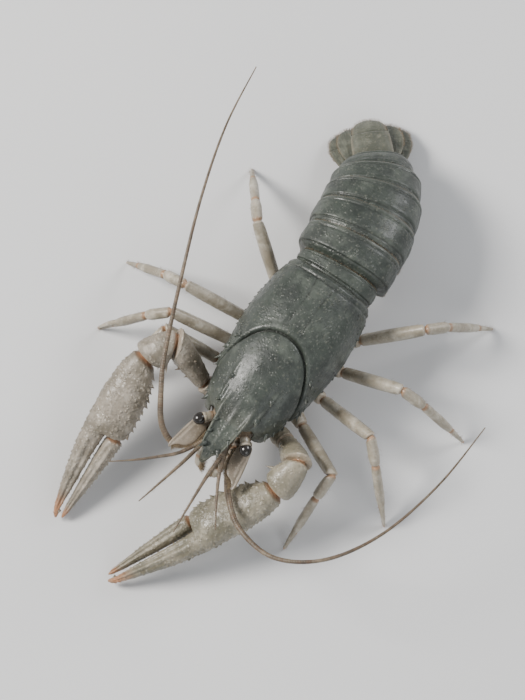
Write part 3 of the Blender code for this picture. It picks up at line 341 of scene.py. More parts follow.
# In each look, deep is the colour that painted shade in grooves, sockets, seams and joints goes toward, as do
# a few darker marks of the shell's own
shellLooks = {
    "backShell": {
        "dark": (0.017, 0.022, 0.018), "base": (0.036, 0.045, 0.036), "light": (0.065, 0.076, 0.062),
        "patch": 7.0, "mottle": 0.9, "speck": 1.5, "speckColour": (0.109, 0.112, 0.084), "speckAmount": 0.5,
        "pale": (0.135, 0.140, 0.107), "deep": (0.008, 0.010, 0.007), "warm": (0.089, 0.059, 0.029),
        "rough": (0.34, 0.58), "coat": 0.16, "granule": (0.8, 0.11), "pit": (0.42, 0.06),
        "grit": (0.15, 0.02),
        "through": 0.0,
    },
    "clawShell": {
        "dark": (0.132, 0.114, 0.083), "base": (0.250, 0.216, 0.170), "light": (0.344, 0.304, 0.248),
        "patch": 7.0, "mottle": 0.8, "speck": 1.3, "speckColour": (0.480, 0.432, 0.352), "speckAmount": 0.5,
        "pale": (0.496, 0.440, 0.352), "deep": (0.068, 0.053, 0.036), "warm": (0.352, 0.168, 0.080),
        "rough": (0.32, 0.56), "coat": 0.16, "granule": (0.85, 0.16), "pit": (0.5, 0.05),
        "grit": (0.14, 0.018),
        "through": 0.04,
    },
    "legShell": {
        "dark": (0.217, 0.187, 0.135), "base": (0.353, 0.316, 0.250), "light": (0.476, 0.439, 0.361),
        "patch": 5.5, "mottle": 0.7, "speck": 1.0, "speckColour": (0.156, 0.152, 0.111), "speckAmount": 0.3,
        "pale": (0.574, 0.525, 0.426), "deep": (0.098, 0.075, 0.049), "warm": (0.377, 0.205, 0.107),
        "rough": (0.32, 0.54), "coat": 0.18, "granule": (0.7, 0.05), "pit": (0.45, 0.03),
        "grit": (0.13, 0.014),
        "through": 0.08,
    },
    "fanShell": {
        "dark": (0.046, 0.053, 0.040), "base": (0.088, 0.096, 0.073), "light": (0.143, 0.149, 0.115),
        "patch": 5.0, "mottle": 0.8, "speck": 1.2, "speckColour": (0.182, 0.180, 0.130), "speckAmount": 0.4,
        "pale": (0.219, 0.211, 0.155), "deep": (0.021, 0.022, 0.016), "warm": (0.170, 0.108, 0.053),
        "rough": (0.32, 0.54), "coat": 0.16, "granule": (0.7, 0.05), "pit": (0.45, 0.04),
        "grit": (0.13, 0.014),
        "through": 0.06,
    },
    "feelerSkin": {
        "dark": (0.056, 0.040, 0.025), "base": (0.123, 0.092, 0.060), "light": (0.204, 0.160, 0.106),
        "patch": 6.0, "mottle": 0.8, "speck": 0.9, "speckColour": (0.255, 0.204, 0.136), "speckAmount": 0.3,
        "pale": (0.306, 0.255, 0.178), "deep": (0.025, 0.019, 0.012), "warm": (0.255, 0.119, 0.055),
        "rough": (0.38, 0.58), "coat": 0.08, "granule": (0.5, 0.02), "pit": (0.3, 0.02), "grit": (0.12, 0.01),
        "through": 0.05,
    },
    "softSkin": {
        "dark": (0.200, 0.149, 0.093), "base": (0.332, 0.272, 0.196), "light": (0.451, 0.391, 0.302),
        "patch": 4.0, "mottle": 0.9, "speck": 1.6, "speckColour": (0.493, 0.425, 0.323), "speckAmount": 0.3,
        "pale": (0.527, 0.476, 0.374), "deep": (0.111, 0.072, 0.043), "warm": (0.391, 0.196, 0.093),
        "rough": (0.40, 0.60), "coat": 0.14, "granule": (1.1, 0.08), "pit": (0.6, 0.05),
        "grit": (0.18, 0.016),
        "through": 0.12,
    },
}

# The left claw is a little greener than the right one
shellLooks["leftClawShell"] = shellLooks["clawShell"] | {
    "dark": (0.126, 0.115, 0.078), "base": (0.245, 0.217, 0.159), "light": (0.344, 0.312, 0.237)}
shellLooks["bladeShell"] = shellLooks["clawShell"] | {"granule": (0.6, 0.03)}
plainLooks = {
    "eyeGloss": {"dark": (0.004, 0.004, 0.005), "light": (0.022, 0.018, 0.014), "patch": 0.9, "rough": 0.2,
                 "facet": 0.085, "facetDepth": 0.006, "coat": 0.35},
    "bristle": {"dark": (0.11, 0.075, 0.042), "light": (0.34, 0.26, 0.16), "patch": 1.4, "rough": 0.55},
    "floorPaper": {"dark": (0.60, 0.61, 0.62), "light": (0.66, 0.66, 0.66), "patch": 1000 / 9, "rough": 0.8},
}


class Paint:
    # A finish made of nodes, its patterns measured in millimetres on the piece

    def __init__(self, name):
        self.material = bpy.data.materials.new(name)
        self.material.use_nodes = True
        self.tree = self.material.node_tree
        place = self.tree.nodes.new("ShaderNodeTexCoord").outputs["Object"]
        self.place = self.node("VectorMath", {"operation": "SCALE"}, {0: place, "Scale": 1 / mm})

    def node(self, kind, settings, values, out=0):
        made = self.tree.nodes.new("ShaderNode" + kind)
        for name, value in settings.items():
            setattr(made, name, value)
        self.fill(made, values)
        return made.outputs[out]

    def fill(self, node, values):
        # Sockets are linked, and numbers and colours are set
        for name, value in values.items():
            if isinstance(value, bpy.types.NodeSocket):
                self.tree.links.new(value, node.inputs[name])
            else:
                node.inputs[name].default_value = value

    def cloudy(self, size, seed=None, detail=3.0):
        values = {"Vector": self.place, "Scale": 1 / size, "Detail": detail}
        if seed is None:
            return self.node("TexNoise", {}, values)
        return self.node("TexNoise", {"noise_dimensions": "4D"}, values | {"W": seed})

    def cells(self, size, uneven=1.0):
        return self.node("TexVoronoi", {}, {"Vector": self.place, "Scale": 1 / size, "Randomness": uneven})

    def ranged(self, value, low, high, bottom=0.0, top=1.0):
        return self.node("MapRange", {"interpolation_type": "SMOOTHSTEP"},
                         {0: value, 1: low, 2: high, 3: bottom, 4: top})

    def times(self, a, b):
        return self.node("Math", {"operation": "MULTIPLY"}, {0: a, 1: b})

    def over(self, factor, below, above):
        below, above = ((*value, 1) if isinstance(value, tuple) else value for value in (below, above))
        return self.node("Mix", {"data_type": "RGBA"}, {0: factor, 6: below, 7: above}, 2)

    def raised(self, heights, strength=1.0):
        # Bumps, each with its height and depth, one over the other
        normal = {}
        for height, depth in heights:
            values = {"Strength": strength, "Distance": depth * mm, "Height": height}
            normal = {"Normal": self.node("Bump", {}, values | normal)}
        return normal

    def finished(self, values):
        self.fill(self.tree.nodes["Principled BSDF"], values)
        return self.material


def shellPaint(name, look):
    paint = Paint(name)
    cloudy, cells, ranged, times, over = paint.cloudy, paint.cells, paint.ranged, paint.times, paint.over
    tone, warm = (paint.node("Attribute", {"attribute_name": label}, {}, "Fac") for label in ("tone", "warm"))
    patch, (grain, grainDepth), (pit, pitDepth), (grit, gritDepth) = (
        look[name] for name in ("patch", "granule", "pit", "grit"))
    colour = over(ranged(cloudy(patch, 1.0), 0.34, 0.66), look["dark"], look["base"])
    colour = over(ranged(cloudy(patch * 0.55, 2.0), 0.46, 0.74), colour, look["light"])
    colour = over(ranged(cloudy(look["mottle"], 3.0, 4.0), 0.48, 0.70, 0.0, 0.55), colour, look["dark"])
    specks = times(ranged(cells(look["speck"]), 0.26, 0.10), ranged(cloudy(patch, 4.0), 0.42, 0.6))
    colour = over(times(specks, look["speckAmount"]), colour, look["speckColour"])
    granule = times(ranged(cells(grain), 0.5, 0.08), ranged(cloudy(grain * 2.2, 10.0, 1.0), 0.36, 0.58))
    colour = over(times(granule, 0.28), colour, look["pale"])
    fleck = ranged(cloudy(0.35, 5.0), 0.4, 0.7, 0.75, 1.0)
    # Tone above nought takes the colour toward pale, below nought toward deep. Below nought it is painted
    # shade in grooves, sockets, seams and joints, besides some darker marks of the shell's own; above nought
    # it holds paler rims and grains and the claws' painted ridge highlights
    colour = over(times(ranged(tone, 0.0, 1.0, 0.0, 0.9), fleck), colour, look["pale"])
    colour = over(ranged(tone, 0.0, -1.0, 0.0, 0.92), colour, look["deep"])
    blush = times(ranged(warm, 0.0, 1.0), ranged(cloudy(1.6, 6.0), 0.25, 0.6, 0.7, 1.0))
    return paint.finished({
        "Base Color": over(blush, colour, look["warm"]),
        "Roughness": ranged(cloudy(2.2, 7.0, 5.0), 0.3, 0.7, *look["rough"]),
        "Coat Weight": look["coat"], "Coat Roughness": 0.2, "IOR": 1.5,
        "Subsurface Weight": look["through"], "Subsurface Radius": (1.0, 0.55, 0.3),
        "Subsurface Scale": 0.8 * mm,
    } | paint.raised(((granule, grainDepth), (ranged(cells(pit), 0.0, 0.32), pitDepth),
                      (cloudy(1.3, 8.0, 4.0), pitDepth * 2.4), (cloudy(grit, 9.0, 2.0), gritDepth))))


def plainPaint(name, look):
    # Two colours in soft patches. The eyes have a fine net of facets under their gloss
    paint = Paint(name)
    values = {"Base Color": paint.over(paint.cloudy(look["patch"], detail=2.0), look["dark"], look["light"]),
              "Roughness": look["rough"]}
    if "facet" in look:
        values |= {"Coat Weight": look["coat"], "Coat Roughness": 0.08}
        values |= paint.raised(((paint.cells(look["facet"], 0.25), look["facetDepth"]),), 0.5)
    return paint.finished(values)


paints = {name: shellPaint(name, look) for name, look in shellLooks.items()}
paints |= {name: plainPaint(name, look) for name, look in plainLooks.items()}
print("finishes ready")


# Carapace

carapace = {
    "faceY": -42.5,
    "halfWidth": ((-42.5, 6.6), (-40.5, 8.4), (-35, 10.3), (-26, 12.4), (-15, 13.4), (-6, 12.7),
                  (-1.2, 11.6), (0, 11.0)),
    "top": ((-42.5, 28.4), (-40.5, 29.5), (-34, 31.2), (-24, 32.9), (-14, 33.4), (-5, 32.5), (-1.2, 31.6),
            (0, 30.9)),
    "middle": ((-42.5, 22.3), (-30, 21.3), (-12, 21.0), (0, 22.0)),
    "bottom": ((-42.5, 16.4), (-39.5, 13.4), (-36, 11.4), (-20, 11.0), (-6, 12.0), (0, 14.6)),
    "flatBottomZ": 12.8, "flatBottomY": -40.5,
    "grooveShare": 0.45, "grooveTopShift": 5.4, "grooveSideShift": -9.6, "grooveDepth": 0.75,
    "thickness": 0.4, "grainHeight": 0.16, "lowestDegrees": -52,
    # Front margin, notched behind the eye: degrees up the side, y of the edge
    "frontEdge": ((-52, -36.6), (-35, -38.4), (-15, -40.6), (5, -41.8), (26, -42.3), (40, -41.2), (50, -41.0),
                  (58, -42.5), (90, -42.5)),
    # Ridges behind the eyes: y, length, degrees up the side, height
    "ridges": ((-37.2, 2.6, 59.5, 0.5), (-31.6, 2.2, 62, 0.32)),
    # Swellings of the stomach, the cheek and the gill cover: y, length, degrees up the side, width, height
    "swells": ((-26, 5.5, 90, 26, 0.35), (-33.5, 4.0, 22, 17, 0.4), (-12, 8, 38, 22, 0.3)),
    # Spines: y, degrees up the side, root radius, height, lean toward the head
    "spines": ((-38.6, 58, 0.62, 1.6, 1.3), (-33.0, 61, 0.55, 1.2, 1.3), (-39.6, 18, 0.55, 1.4, 1.4),
               (-36.2, 30, 0.35, 0.7, 1.2), (-37.8, 6, 0.38, 0.8, 1.2), (-35.0, -12, 0.33, 0.6, 1.2)),
    # The row behind the neck groove: degrees up the side, height, distance behind the groove
    "grooveSpines": ((38, 0.9, 2.2), (24, 1.3, 2.2), (11, 1.5, 2.2), (-2, 1.2, 2.2), (31, 0.55, 3.4),
                     (17, 0.7, 3.9), (4, 0.6, 4.0), (-12, 0.7, 2.4)),
    # Tried on each side; those too near the groove are left out
    "smallThorns": {"count": 46, "degrees": (-30, 34), "y": (-38, -3), "radius": (0.22, 0.3),
                    "height": (0.2, 0.38), "lean": 0.7, "clear": 1.3},
    "fringeLength": (0.4, 0.95),
}
rostrum = {
    "tipY": -54.0, "rootHalf": 3.8,
    "half": ((-54, 0.12), (-53.2, 0.62), (-52.5, 0.95), (-51.2, 1.45), (-50.2, 2.45), (-49.2, 2.85),
             (-47, 3.2), (-42.5, 3.8), (-39, 4.1), (-34, 3.7)),
    "topZ": ((-54, 30.15), (-52.5, 29.75), (-50.5, 29.4), (-47, 29.05), (-43, 29.15), (-39, 29.85),
             (-35, 30.9)),
    "ridge": 0.55, "keel": 0.22,
    # Side spines: y, size
    "spines": ((-50.3, 1.15), (-46.9, 0.8), (-43.9, 0.7)),
}
halfWidthAt, topAt, middleAt, bottomAt, frontEdgeAt = (
    softCurve(carapace[name]) for name in ("halfWidth", "top", "middle", "bottom", "frontEdge"))
rostrumHalfAt, rostrumTopAt = softCurve(rostrum["half"]), softCurve(rostrum["topZ"])


def upTheSide(angle):
    # Degrees above the flank, the same on both sides
    degrees = np.degrees(angle)
    return np.where(degrees > 90, 180 - degrees, degrees)


def grooveShift(angle):
    rise = np.maximum(0.0, np.sin(angle)) ** 1.5
    return carapace["grooveSideShift"] + (carapace["grooveTopShift"] - carapace["grooveSideShift"]) * rise


def grooveY(angle):
    return carapace["faceY"] * (1 - carapace["grooveShare"]) + grooveShift(angle)


def carapacePoint(share, angle, edge=True):
    # The smooth form: share runs from the front margin to the hind edge, angle from the left over the top
    share, angle = np.broadcast_arrays(np.asarray(share, float), np.asarray(angle, float))
    g = carapace["grooveShare"]
    hat = np.where(share < g, share / g, (1 - share) / (1 - g))
    front = frontEdgeAt(upTheSide(angle)) if edge else carapace["faceY"]
    y = front * (1 - share) + grooveShift(angle) * hat + (carapace["faceY"] - front) * (1 - g) * hat
    x = halfWidthAt(y) * signedPower(np.cos(angle), 2 / 2.25)
    middle, rise = middleAt(y), np.sin(angle)
    z = np.where(rise >= 0, middle + (topAt(y) - middle) * signedPower(rise, 2 / 2.1),
                 middle + (middle - bottomAt(y)) * signedPower(rise, 2 / 2.5))
    z = np.where(y > carapace["flatBottomY"], np.maximum(z, carapace["flatBottomZ"]), z)
    return np.stack((x, y, z), -1)


def rostralTop(y, across):
    # Height of the beak's upper face, across from -1 to 1 between its edges
    narrow = np.clip(rostrumHalfAt(y) / 3.0, 0.25, 1)
    return (rostrumTopAt(y) + rostrum["ridge"] * narrow * bell(np.abs(across), 0.9, 0.13)
            + rostrum["keel"] * narrow * bell(across, 0, 0.14) - 0.12 * (1 - across ** 2))


def carapaceRelief(grid, angle):
    # Grooves, ridges and grains: how far each point stands out, and its tone. The tone darkens the grooves as
    # painted shade
    x, y, side, groove = grid[..., 0], grid[..., 1], upTheSide(angle), grid[..., 1] - grooveY(angle)
    fade = ease(np.sin(angle), -0.75, -0.3)
    out = fade * (0.16 * bell(groove, 1.3, 0.9) - carapace["grooveDepth"] * bell(groove, 0, 0.42)
                  - 0.3 * bell(groove, -0.2, 1.5))
    # Painted shade: the neck groove is darkened in colour
    tone = -0.85 * bell(groove, 0, 0.4) * fade
    # The branch down to the mouth, ahead of the neck groove's lower arm
    lower = 0.3 * bell(side, 2 + 2.2 * (y + 36), 7) * ease(y, -40.5, -38.5) * ease(y, -30.5, -33.5)
    # Two fine grooves along the back, closest in their middle
    gap = 1.9 + 0.9 * ((y + 9.5) / 8.0) ** 2
    back = bell(np.abs(x), gap, 0.22) * ease(y, -17.4, -16.0) * ease(y, -0.9, -2.4) * (np.sin(angle) > 0)
    out -= lower + 0.28 * back
    # Painted shade in the branch to the mouth and in the back grooves
    tone -= lower + 0.7 * back
    # The hind rim, and the lower rim of the flank
    out += 0.10 * bell(y, -0.75, 0.45) - 0.26 * bell(y, -1.75, 0.34) * ease(side, -40, -20)
    # The dark line just before the hind rim is painted shade in its groove
    tone += 0.28 * ease(y, -0.8, -0.1) - 0.5 * bell(y, -1.75, 0.3)
    flank = 0.2 * bell(side, -41, 2.6) * ease(y, -38, -34)
    out += 0.12 * bell(side, -47, 3) - flank
    # The dark line along the flank's groove is painted shade
    tone += 0.35 * ease(side, -44, -50) - 2.2 * flank
    for ridgeY, length, degrees, height in carapace["ridges"]:
        ridge = bell(side, degrees, 2.4) * bell(y, ridgeY, length)
        out += height * ridge
        tone += 0.22 * ridge
    for swellY, length, degrees, width, height in carapace["swells"]:
        out += height * bell(y, swellY, length) * bell(side, degrees, width)
    out += 0.10 * cloud(grid, 4.0)
    rough = np.clip(ease(side, 62, 18) + 0.35 * ease(y, -30, -36), 0, 1)
    calm = 1 - np.clip(bell(groove, 0, 0.5) + back, 0, 1)
    large, small = calm * grains(grid, 0.95, 3.1), calm * grains(grid, 0.62, 9.7)
    out += carapace["grainHeight"] * (large * (0.30 + 0.70 * rough) + 0.35 * small)
    return out, tone + large * (0.12 + 0.38 * rough) * ease(side, 85, 30)


def makeBeak(shape, margin, first):
    # Rows that grow forward from the middle of the front margin, whose points are numbered from first on
    across = np.clip(margin[:, 0] / rostrumHalfAt(margin[:, 1]), -1, 1)
    y = np.linspace(carapace["faceY"], rostrum["tipY"], 64)[1:, None]
    lift = ease(y, carapace["faceY"], -44.0)
    z = (rostralTop(y, across) * lift
         + (margin[:, 2] + rostrumTopAt(y) - rostrumTopAt(carapace["faceY"])) * (1 - lift))
    grid = np.stack(np.broadcast_arrays(across * rostrumHalfAt(y), y, z), -1)
    fine = 0.09 * grains(grid, 0.7, 21.0)
    grid[..., 2] += fine
    tone = 0.18 + 0.42 * bell(np.abs(across), 0.92, 0.12) + 1.6 * fine + 0.3 * ease(y, -51.5, -53.5)
    numbers = np.vstack((np.arange(len(margin)) + first - shape.count,
                         np.arange(fine.size).reshape(fine.shape)))
    shape.add(grid, quads(numbers[::-1]), tone, 0.25 * ease(y, -52, -53.8))


def makeCarapace():
    # The columns that run on into the beak start where the face is as wide as the beak's root
    probe = np.radians(np.linspace(30, 89, 400))
    ridgeRoot = probe[np.argmin(np.abs(carapacePoint(0.0, probe)[:, 0] - rostrum["rootHalf"]))]
    flankTurns = np.linspace(math.radians(carapace["lowestDegrees"]), ridgeRoot, 84, endpoint=False)
    beakTurns = np.linspace(ridgeRoot, math.pi - ridgeRoot, 37)
    turns = np.concatenate((flankTurns, beakTurns, math.pi - flankTurns[::-1]))
    g = carapace["grooveShare"]
    shares = spaced((0, 0.06, g - 0.05, g + 0.05, 0.94, 1), (8, 59, 32, 65, 15))
    grid = carapacePoint(shares[:, None], turns)
    out, tone = carapaceRelief(grid, turns)
    # Toward the face the back flattens into the beak's own top, with its raised edges
    across, onTop = grid[..., 0] / rostrumHalfAt(grid[..., 1]), np.sin(turns) > 0
    melt = ease(grid[..., 1], -34.5, -41.5) * ease(np.abs(across), 1.28, 0.98) * onTop
    grid = grid + gridNormals(grid, False) * (out * (1 - melt))[..., None]
    y = grid[..., 1]
    grid[..., 2] += (rostralTop(y, np.clip(across, -1.1, 1.1)) - grid[..., 2]) * melt
    crest = 0.2 * bell(np.abs(across), 0.92, 0.12) * ease(y, -33, -37) * onTop
    tone = tone + crest + 0.22 * ease(y, -36, -42) * (1 - crest)
    shape = Shape()
    shape.sheet(grid, tone, 0.35 * ease(upTheSide(turns), -30, -50) + 0.16 * ease(y, -34, -42))
    beakColumns = slice(len(flankTurns), len(flankTurns) + len(beakTurns))
    makeBeak(shape, grid[0, beakColumns], beakColumns.start)
    shape.piece("carapace_shell", "backShell", "shell", "carapace", thickness=carapace["thickness"])

    # A short fringe along the lower edges of the gill covers
    shape = Shape()
    draw = np.random.RandomState(9)
    for column, inner, sign in ((0, 4, 1), (-1, -5, -1)):
        edge = grid[40:-4, column]
        inward = unit(grid[40:-4, inner] - edge)
        edgeHairs(shape, draw, edge + inward * 0.25, 5, (-0.5 * sign, 0.3, -0.2) - inward,
                  (-0.3 * sign, 0, -0.1), carapace["fringeLength"], 0.028, 0.09, 0.2)
    shape.piece("carapace_fringe", "bristle", "shell", "carapace", mapped=True)

    # Thorns stand on the shell as pieces of the same colour
    shape = Shape()
    draw = random.Random(11)
    for side, sign in sides.items():
        for y, size in rostrum["spines"]:
            root = (sign * float(rostrumHalfAt(y)) * 0.86, y + 0.2, float(rostrumTopAt(y)) + 0.25)
            shape.spike(root, (sign * 0.62, -1, 0.28), size * 0.42, size * 1.65, 0.8,
                        (-sign * 0.12, -0.1, 0.1))
        for spine in carapace["spines"]:
            placeThorn(shape, side, *spine)
        for degrees, height, behind in carapace["grooveSpines"]:
            y = grooveY(math.radians(degrees)) + behind
            placeThorn(shape, side, y, degrees, 0.28 + 0.16 * height, height, 1.2)
        small = carapace["smallThorns"]
        for _ in range(small["count"]):
            degrees, y = draw.uniform(*small["degrees"]), draw.uniform(*small["y"])
            if abs(y - grooveY(math.radians(degrees))) > small["clear"]:
                placeThorn(shape, side, y, degrees, draw.uniform(*small["radius"]),
                           draw.uniform(*small["height"]), small["lean"])
    shape.piece("carapace_thorns", "backShell", "shell", "carapace")


def placeThorn(shape, side, y, degrees, radius, height, lean):
    # The share that lies at this y is closed in on by halves
    angle = math.radians(degrees if side == "left" else 180 - degrees)
    low, high = 0.0, 1.0
    for _ in range(26):
        share = (low + high) / 2
        low, high = (share, high) if carapacePoint(share, angle)[1] < y else (low, share)
    along = carapacePoint(share + 0.01, angle) - carapacePoint(share - 0.01, angle)
    around = carapacePoint(share, angle + 0.01) - carapacePoint(share, angle - 0.01)
    normal = unit(np.cross(along, around))
    shape.spike(carapacePoint(share, angle) + normal * 0.1, normal + forward * lean, radius, height, 0.7,
                normal * 0.15)


core = {
    "inset": 1.75, "faceMiddle": (0, 0, 21),
    # Sockets of the eyes and feelers: x, z, radius
    "sockets": ((4.5, 25.2, 1.75), (1.65, 23.3, 1.3), (4.2, 19.2, 2.35)),
}


def makeBodyCore():
    # The soft body inside the shell, seen at the face and below: rounded in front around the feelers' roots
    shares = np.concatenate((np.linspace(0.0, 0.2, 22), np.linspace(0.24, 0.99, 26)))[:, None]
    rows = carapacePoint(shares, ringTurns(96), False)
    middleY = rows[..., 1].mean(1)
    centre = np.stack((0 * middleY, middleY, middleAt(middleY)), 1)[:, None]
    rows[..., 1] = np.maximum(rows[..., 1], np.where(shares < 0.2, carapace["faceY"] + 0.4, -99))
    inward = rows - centre
    rows = rows - inward * core["inset"] / np.hypot(inward[..., 0], inward[..., 2])[..., None]
    # The face closes the front, with a rimmed socket round each eye and feeler
    caps = core["faceMiddle"] + (rows[0] - core["faceMiddle"]) * np.linspace(0.02, 0.985, 40)[:, None, None]
    x, z, bumps = np.abs(caps[..., 0]), caps[..., 2], grains(caps, 0.7, 4.0)
    deep = 0.35 * bell(x, 0, 0.5) * ease(z, 21, 24) - 0.5 * bell(x, 0, 2.4) * bell(z, 17.6, 1.5)
    deep += 0.2 * bell(z, 15.6, 0.4) + 0.35 * ease(z, 16.8, 14.6) - 0.12 * bumps
    tone = 0.4 * bumps - 0.1
    for socketX, socketZ, radius in core["sockets"]:
        away = np.hypot(x - socketX, z - socketZ)
        rim = bell(away, radius + 0.55, 0.3)
        deep += 0.55 * ease(away, radius + 0.3, radius - 0.2) - 0.34 * rim
        # Inside each socket the colour is darkened as painted shade
        tone += 0.5 * rim - 0.75 * ease(away, radius + 0.3, radius)
    caps[..., 1] = carapace["faceY"] - 0.15 + deep
    shape = Shape()
    shape.tube(np.vstack((caps, rows)), np.vstack((tone, np.full(rows.shape[:2], -0.15))), 0.12)
    shape.piece("body_core", "softSkin", "underside", "carapace")


makeCarapace()
makeBodyCore()
print("carapace ready")


# Limbs: the same straight lengths and joint planes as the solids have, with rounded necks and rims

def jointPlanes(joints, first, last=None):
    # The ways from joint to joint, and the planes that the lengths meet in
    ways = [unit(b - a) for a, b in zip(joints, joints[1:])]
    return ways, [first, *(unit(a + b) for a, b in zip(ways, ways[1:])), last]


def segment(shape, start, end, profile, hint, planes=(None, None), seed=0.0, rows=40, columns=40, square=2.0,
            neck=0.7, neckLength=0.9, rim=0.1, grain=0.05, spacing=0.9, warmNeck=0.7, warmTip=0.0, ridges=0.0,
            sink=0.5, shares=None, extra=None):
    # One jointed length. Its neck dips into the length before it, and its far end has a raised rim.
    # profile: share of the length, half width, half depth and, where wanted, shifts aside and up
    way, length = unit(end - start), float(np.linalg.norm(end - start))
    side = squareTo(hint, way)
    above = np.cross(side, way)
    if shares is None:
        t = np.linspace(0, 1, rows)
        shares = (1 + sink / length) * (0.45 * t + 0.55 * (0.5 - 0.5 * np.cos(math.pi * t))) - sink / length
    share, turns = shares[:, None], ringTurns(columns)
    fromStart, fromEnd = share * length, (1 - share) * length
    size = neck + (1 - neck) * ease(fromStart, 0.05, neckLength)
    size = size * (1 + rim * 0.5 * bell(fromEnd, 0.55, 0.35)) * (0.84 + 0.16 * ease(fromEnd, -0.02, 0.3))
    sizes = [softCurve(profile, k)(share) for k in range(1, len(profile[0]))]
    width, depth, aside, lift = (*sizes, 0, 0)[:4]
    across, rise = oval(columns, square)
    offset = ((width * across + aside) * size)[..., None] * side
    offset = offset + ((depth * rise + lift) * size)[..., None] * above
    along, inside, bent = fromStart, np.clip(share, 0, 1), min(1.0, 14 / length)
    for plane, near in zip(planes, (inside, 1 - inside)):
        if plane is not None:
            along = along - (offset @ plane) / (way @ plane) * np.maximum(0, 1 - near / bent) ** 2
    grid = start + way * along[..., None] + offset
    body = ease(fromStart, 0.4, 1.4) * ease(fromEnd, 0.1, 0.9)
    bumps, ribs = grains(grid, spacing, seed) * body, body * np.cos(4 * turns + 0.5) ** 3
    out = grain * (bumps + 0.35 * cloud(grid, 2.2, seed)) + ridges * ribs
    tone = 0.34 * bumps * min(1.0, grain / 0.12) + 0.5 * min(0.5, ridges * 3) * ribs
    # The dark band at the neck, where the length dips into the one before it, is painted shade
    tone = tone + 0.35 * bell(fromEnd, 0.35, 0.35) - 0.5 * bell(fromStart, 0.55, 0.5)
    warm = warmNeck * (1 - ease(fromStart, 0.3, 1.6) + 0.35 * bell(fromEnd, 0, 0.6))
    warm = warm + warmTip * ease(share, 0.8, 0.97)
    if extra:
        more, moreTone = extra(grid, share, turns)
        out, tone = out + more, tone + moreTone
    grid = grid + gridNormals(grid) * out[..., None]
    shape.tube(grid, tone, warm)
    return grid, gridNormals(grid), side


legs = {
    "hipY": {2: -27.5, 3: -21.2, 4: -14.9, 5: -8.6},
    # The sternum's sloping side that they start from: x and z of its top and bottom edge, and in front,
    # from this y forward, how narrow it gets
    "sideTop": (6.6, 12.5), "sideBottom": (4.4, 8.0), "narrowY": -37, "narrowShare": 0.8,
    "coxaLength": 3.2, "coxaTurn": 0.4, "ischiumLength": 4.6, "ischiumRise": 0.6,
    # The lower part's two middle joints: share of its length, how far they stand out, in lengths
    "bends": ((0.25, 0.075), (0.72, 0.045)),
    # Degrees from straight out toward the front for the upper and lower part, knee height, lengths
    "shape": {
        ("left", 2): {"upper": 27, "lower": 92, "knee": 17.5, "thigh": 17.0, "shin": 26.0},
        ("left", 3): {"upper": 9, "lower": 44, "knee": 20.5, "thigh": 19.0, "shin": 28.0},
        ("left", 4): {"upper": -11, "lower": -4, "knee": 20.0, "thigh": 18.5, "shin": 27.0},
        ("left", 5): {"upper": -38, "lower": -48, "knee": 19.0, "thigh": 18.0, "shin": 26.0},
        ("right", 2): {"upper": 8, "lower": 76, "knee": 14.0, "thigh": 15.0, "shin": 24.0},
        ("right", 3): {"upper": 15, "lower": 36, "knee": 19.0, "thigh": 18.0, "shin": 26.5},
        ("right", 4): {"upper": 12, "lower": 2, "knee": 20.0, "thigh": 19.0, "shin": 27.0},
        ("right", 5): {"upper": -36, "lower": -50, "knee": 19.0, "thigh": 17.0, "shin": 26.0},
    },
    "coxa": ((0, 2.0, 2.0), (0.6, 2.2, 2.1), (1, 1.65, 1.6)),
    "ischium": ((0, 1.65, 1.6), (0.5, 1.8, 1.75), (1, 1.4, 1.5)),
    "merus": ((0, 1.4, 1.5), (0.15, 1.45, 1.8), (0.5, 1.55, 2.1), (0.88, 1.45, 1.95), (1, 1.2, 1.55)),
    "carpus": ((0, 1.15, 1.4), (0.2, 1.3, 1.65), (0.75, 1.35, 1.7), (1, 1.0, 1.1)),
    "pincerShank": ((0, 1.0, 1.1), (0.2, 1.1, 1.6), (0.7, 1.1, 1.6), (1, 0.8, 0.95)),
    "shank": ((0, 1.0, 1.1), (0.2, 1.1, 1.15), (0.7, 1.1, 1.15), (1, 0.8, 0.8)),
    "dactyl": ((0, 0.8, 0.8), (0.35, 0.62, 0.7), (0.8, 0.42, 0.5), (0.93, 0.3, 0.34), (1, 0.12, 0.12)),
    "thumb": ((0, 0.62), (0.3, 0.66), (0.6, 0.5), (0.85, 0.36), (1, 0.1)),
    "look": {"square": 2.2, "columns": 32, "neck": 0.68, "rim": 0.12, "grain": 0.055, "spacing": 0.8,
             "ridges": 0.05},
    "tipLook": {"rows": 44, "columns": 28, "neck": 0.75, "neckLength": 0.5, "rim": 0.0, "grain": 0.02,
                "spacing": 0.5, "warmNeck": 0.6, "warmTip": 0.9},
    "bristles": 22, "bristleLength": 0.9,
}


def heading(side, degrees):
    angle = math.radians(degrees)
    return onSide((math.cos(angle), -math.sin(angle), 0), side)


def sternumSide(y, side):
    # Halfway up the sternum's sloping side, and that side's outward normal
    (topX, topZ), (bottomX, bottomZ), narrow = legs["sideTop"], legs["sideBottom"], legs["narrowShare"]
    share = 1.0
    if y < legs["narrowY"]:
        share = narrow + (1 - narrow) * (y - sternumFrontY) / (legs["narrowY"] - sternumFrontY)
    place = ((topX + bottomX) / 2 * share, y, (topZ + bottomZ) / 2)
    return onSide(place, side), onSide(unit((topZ - bottomZ, 0, bottomX - topX)), side)


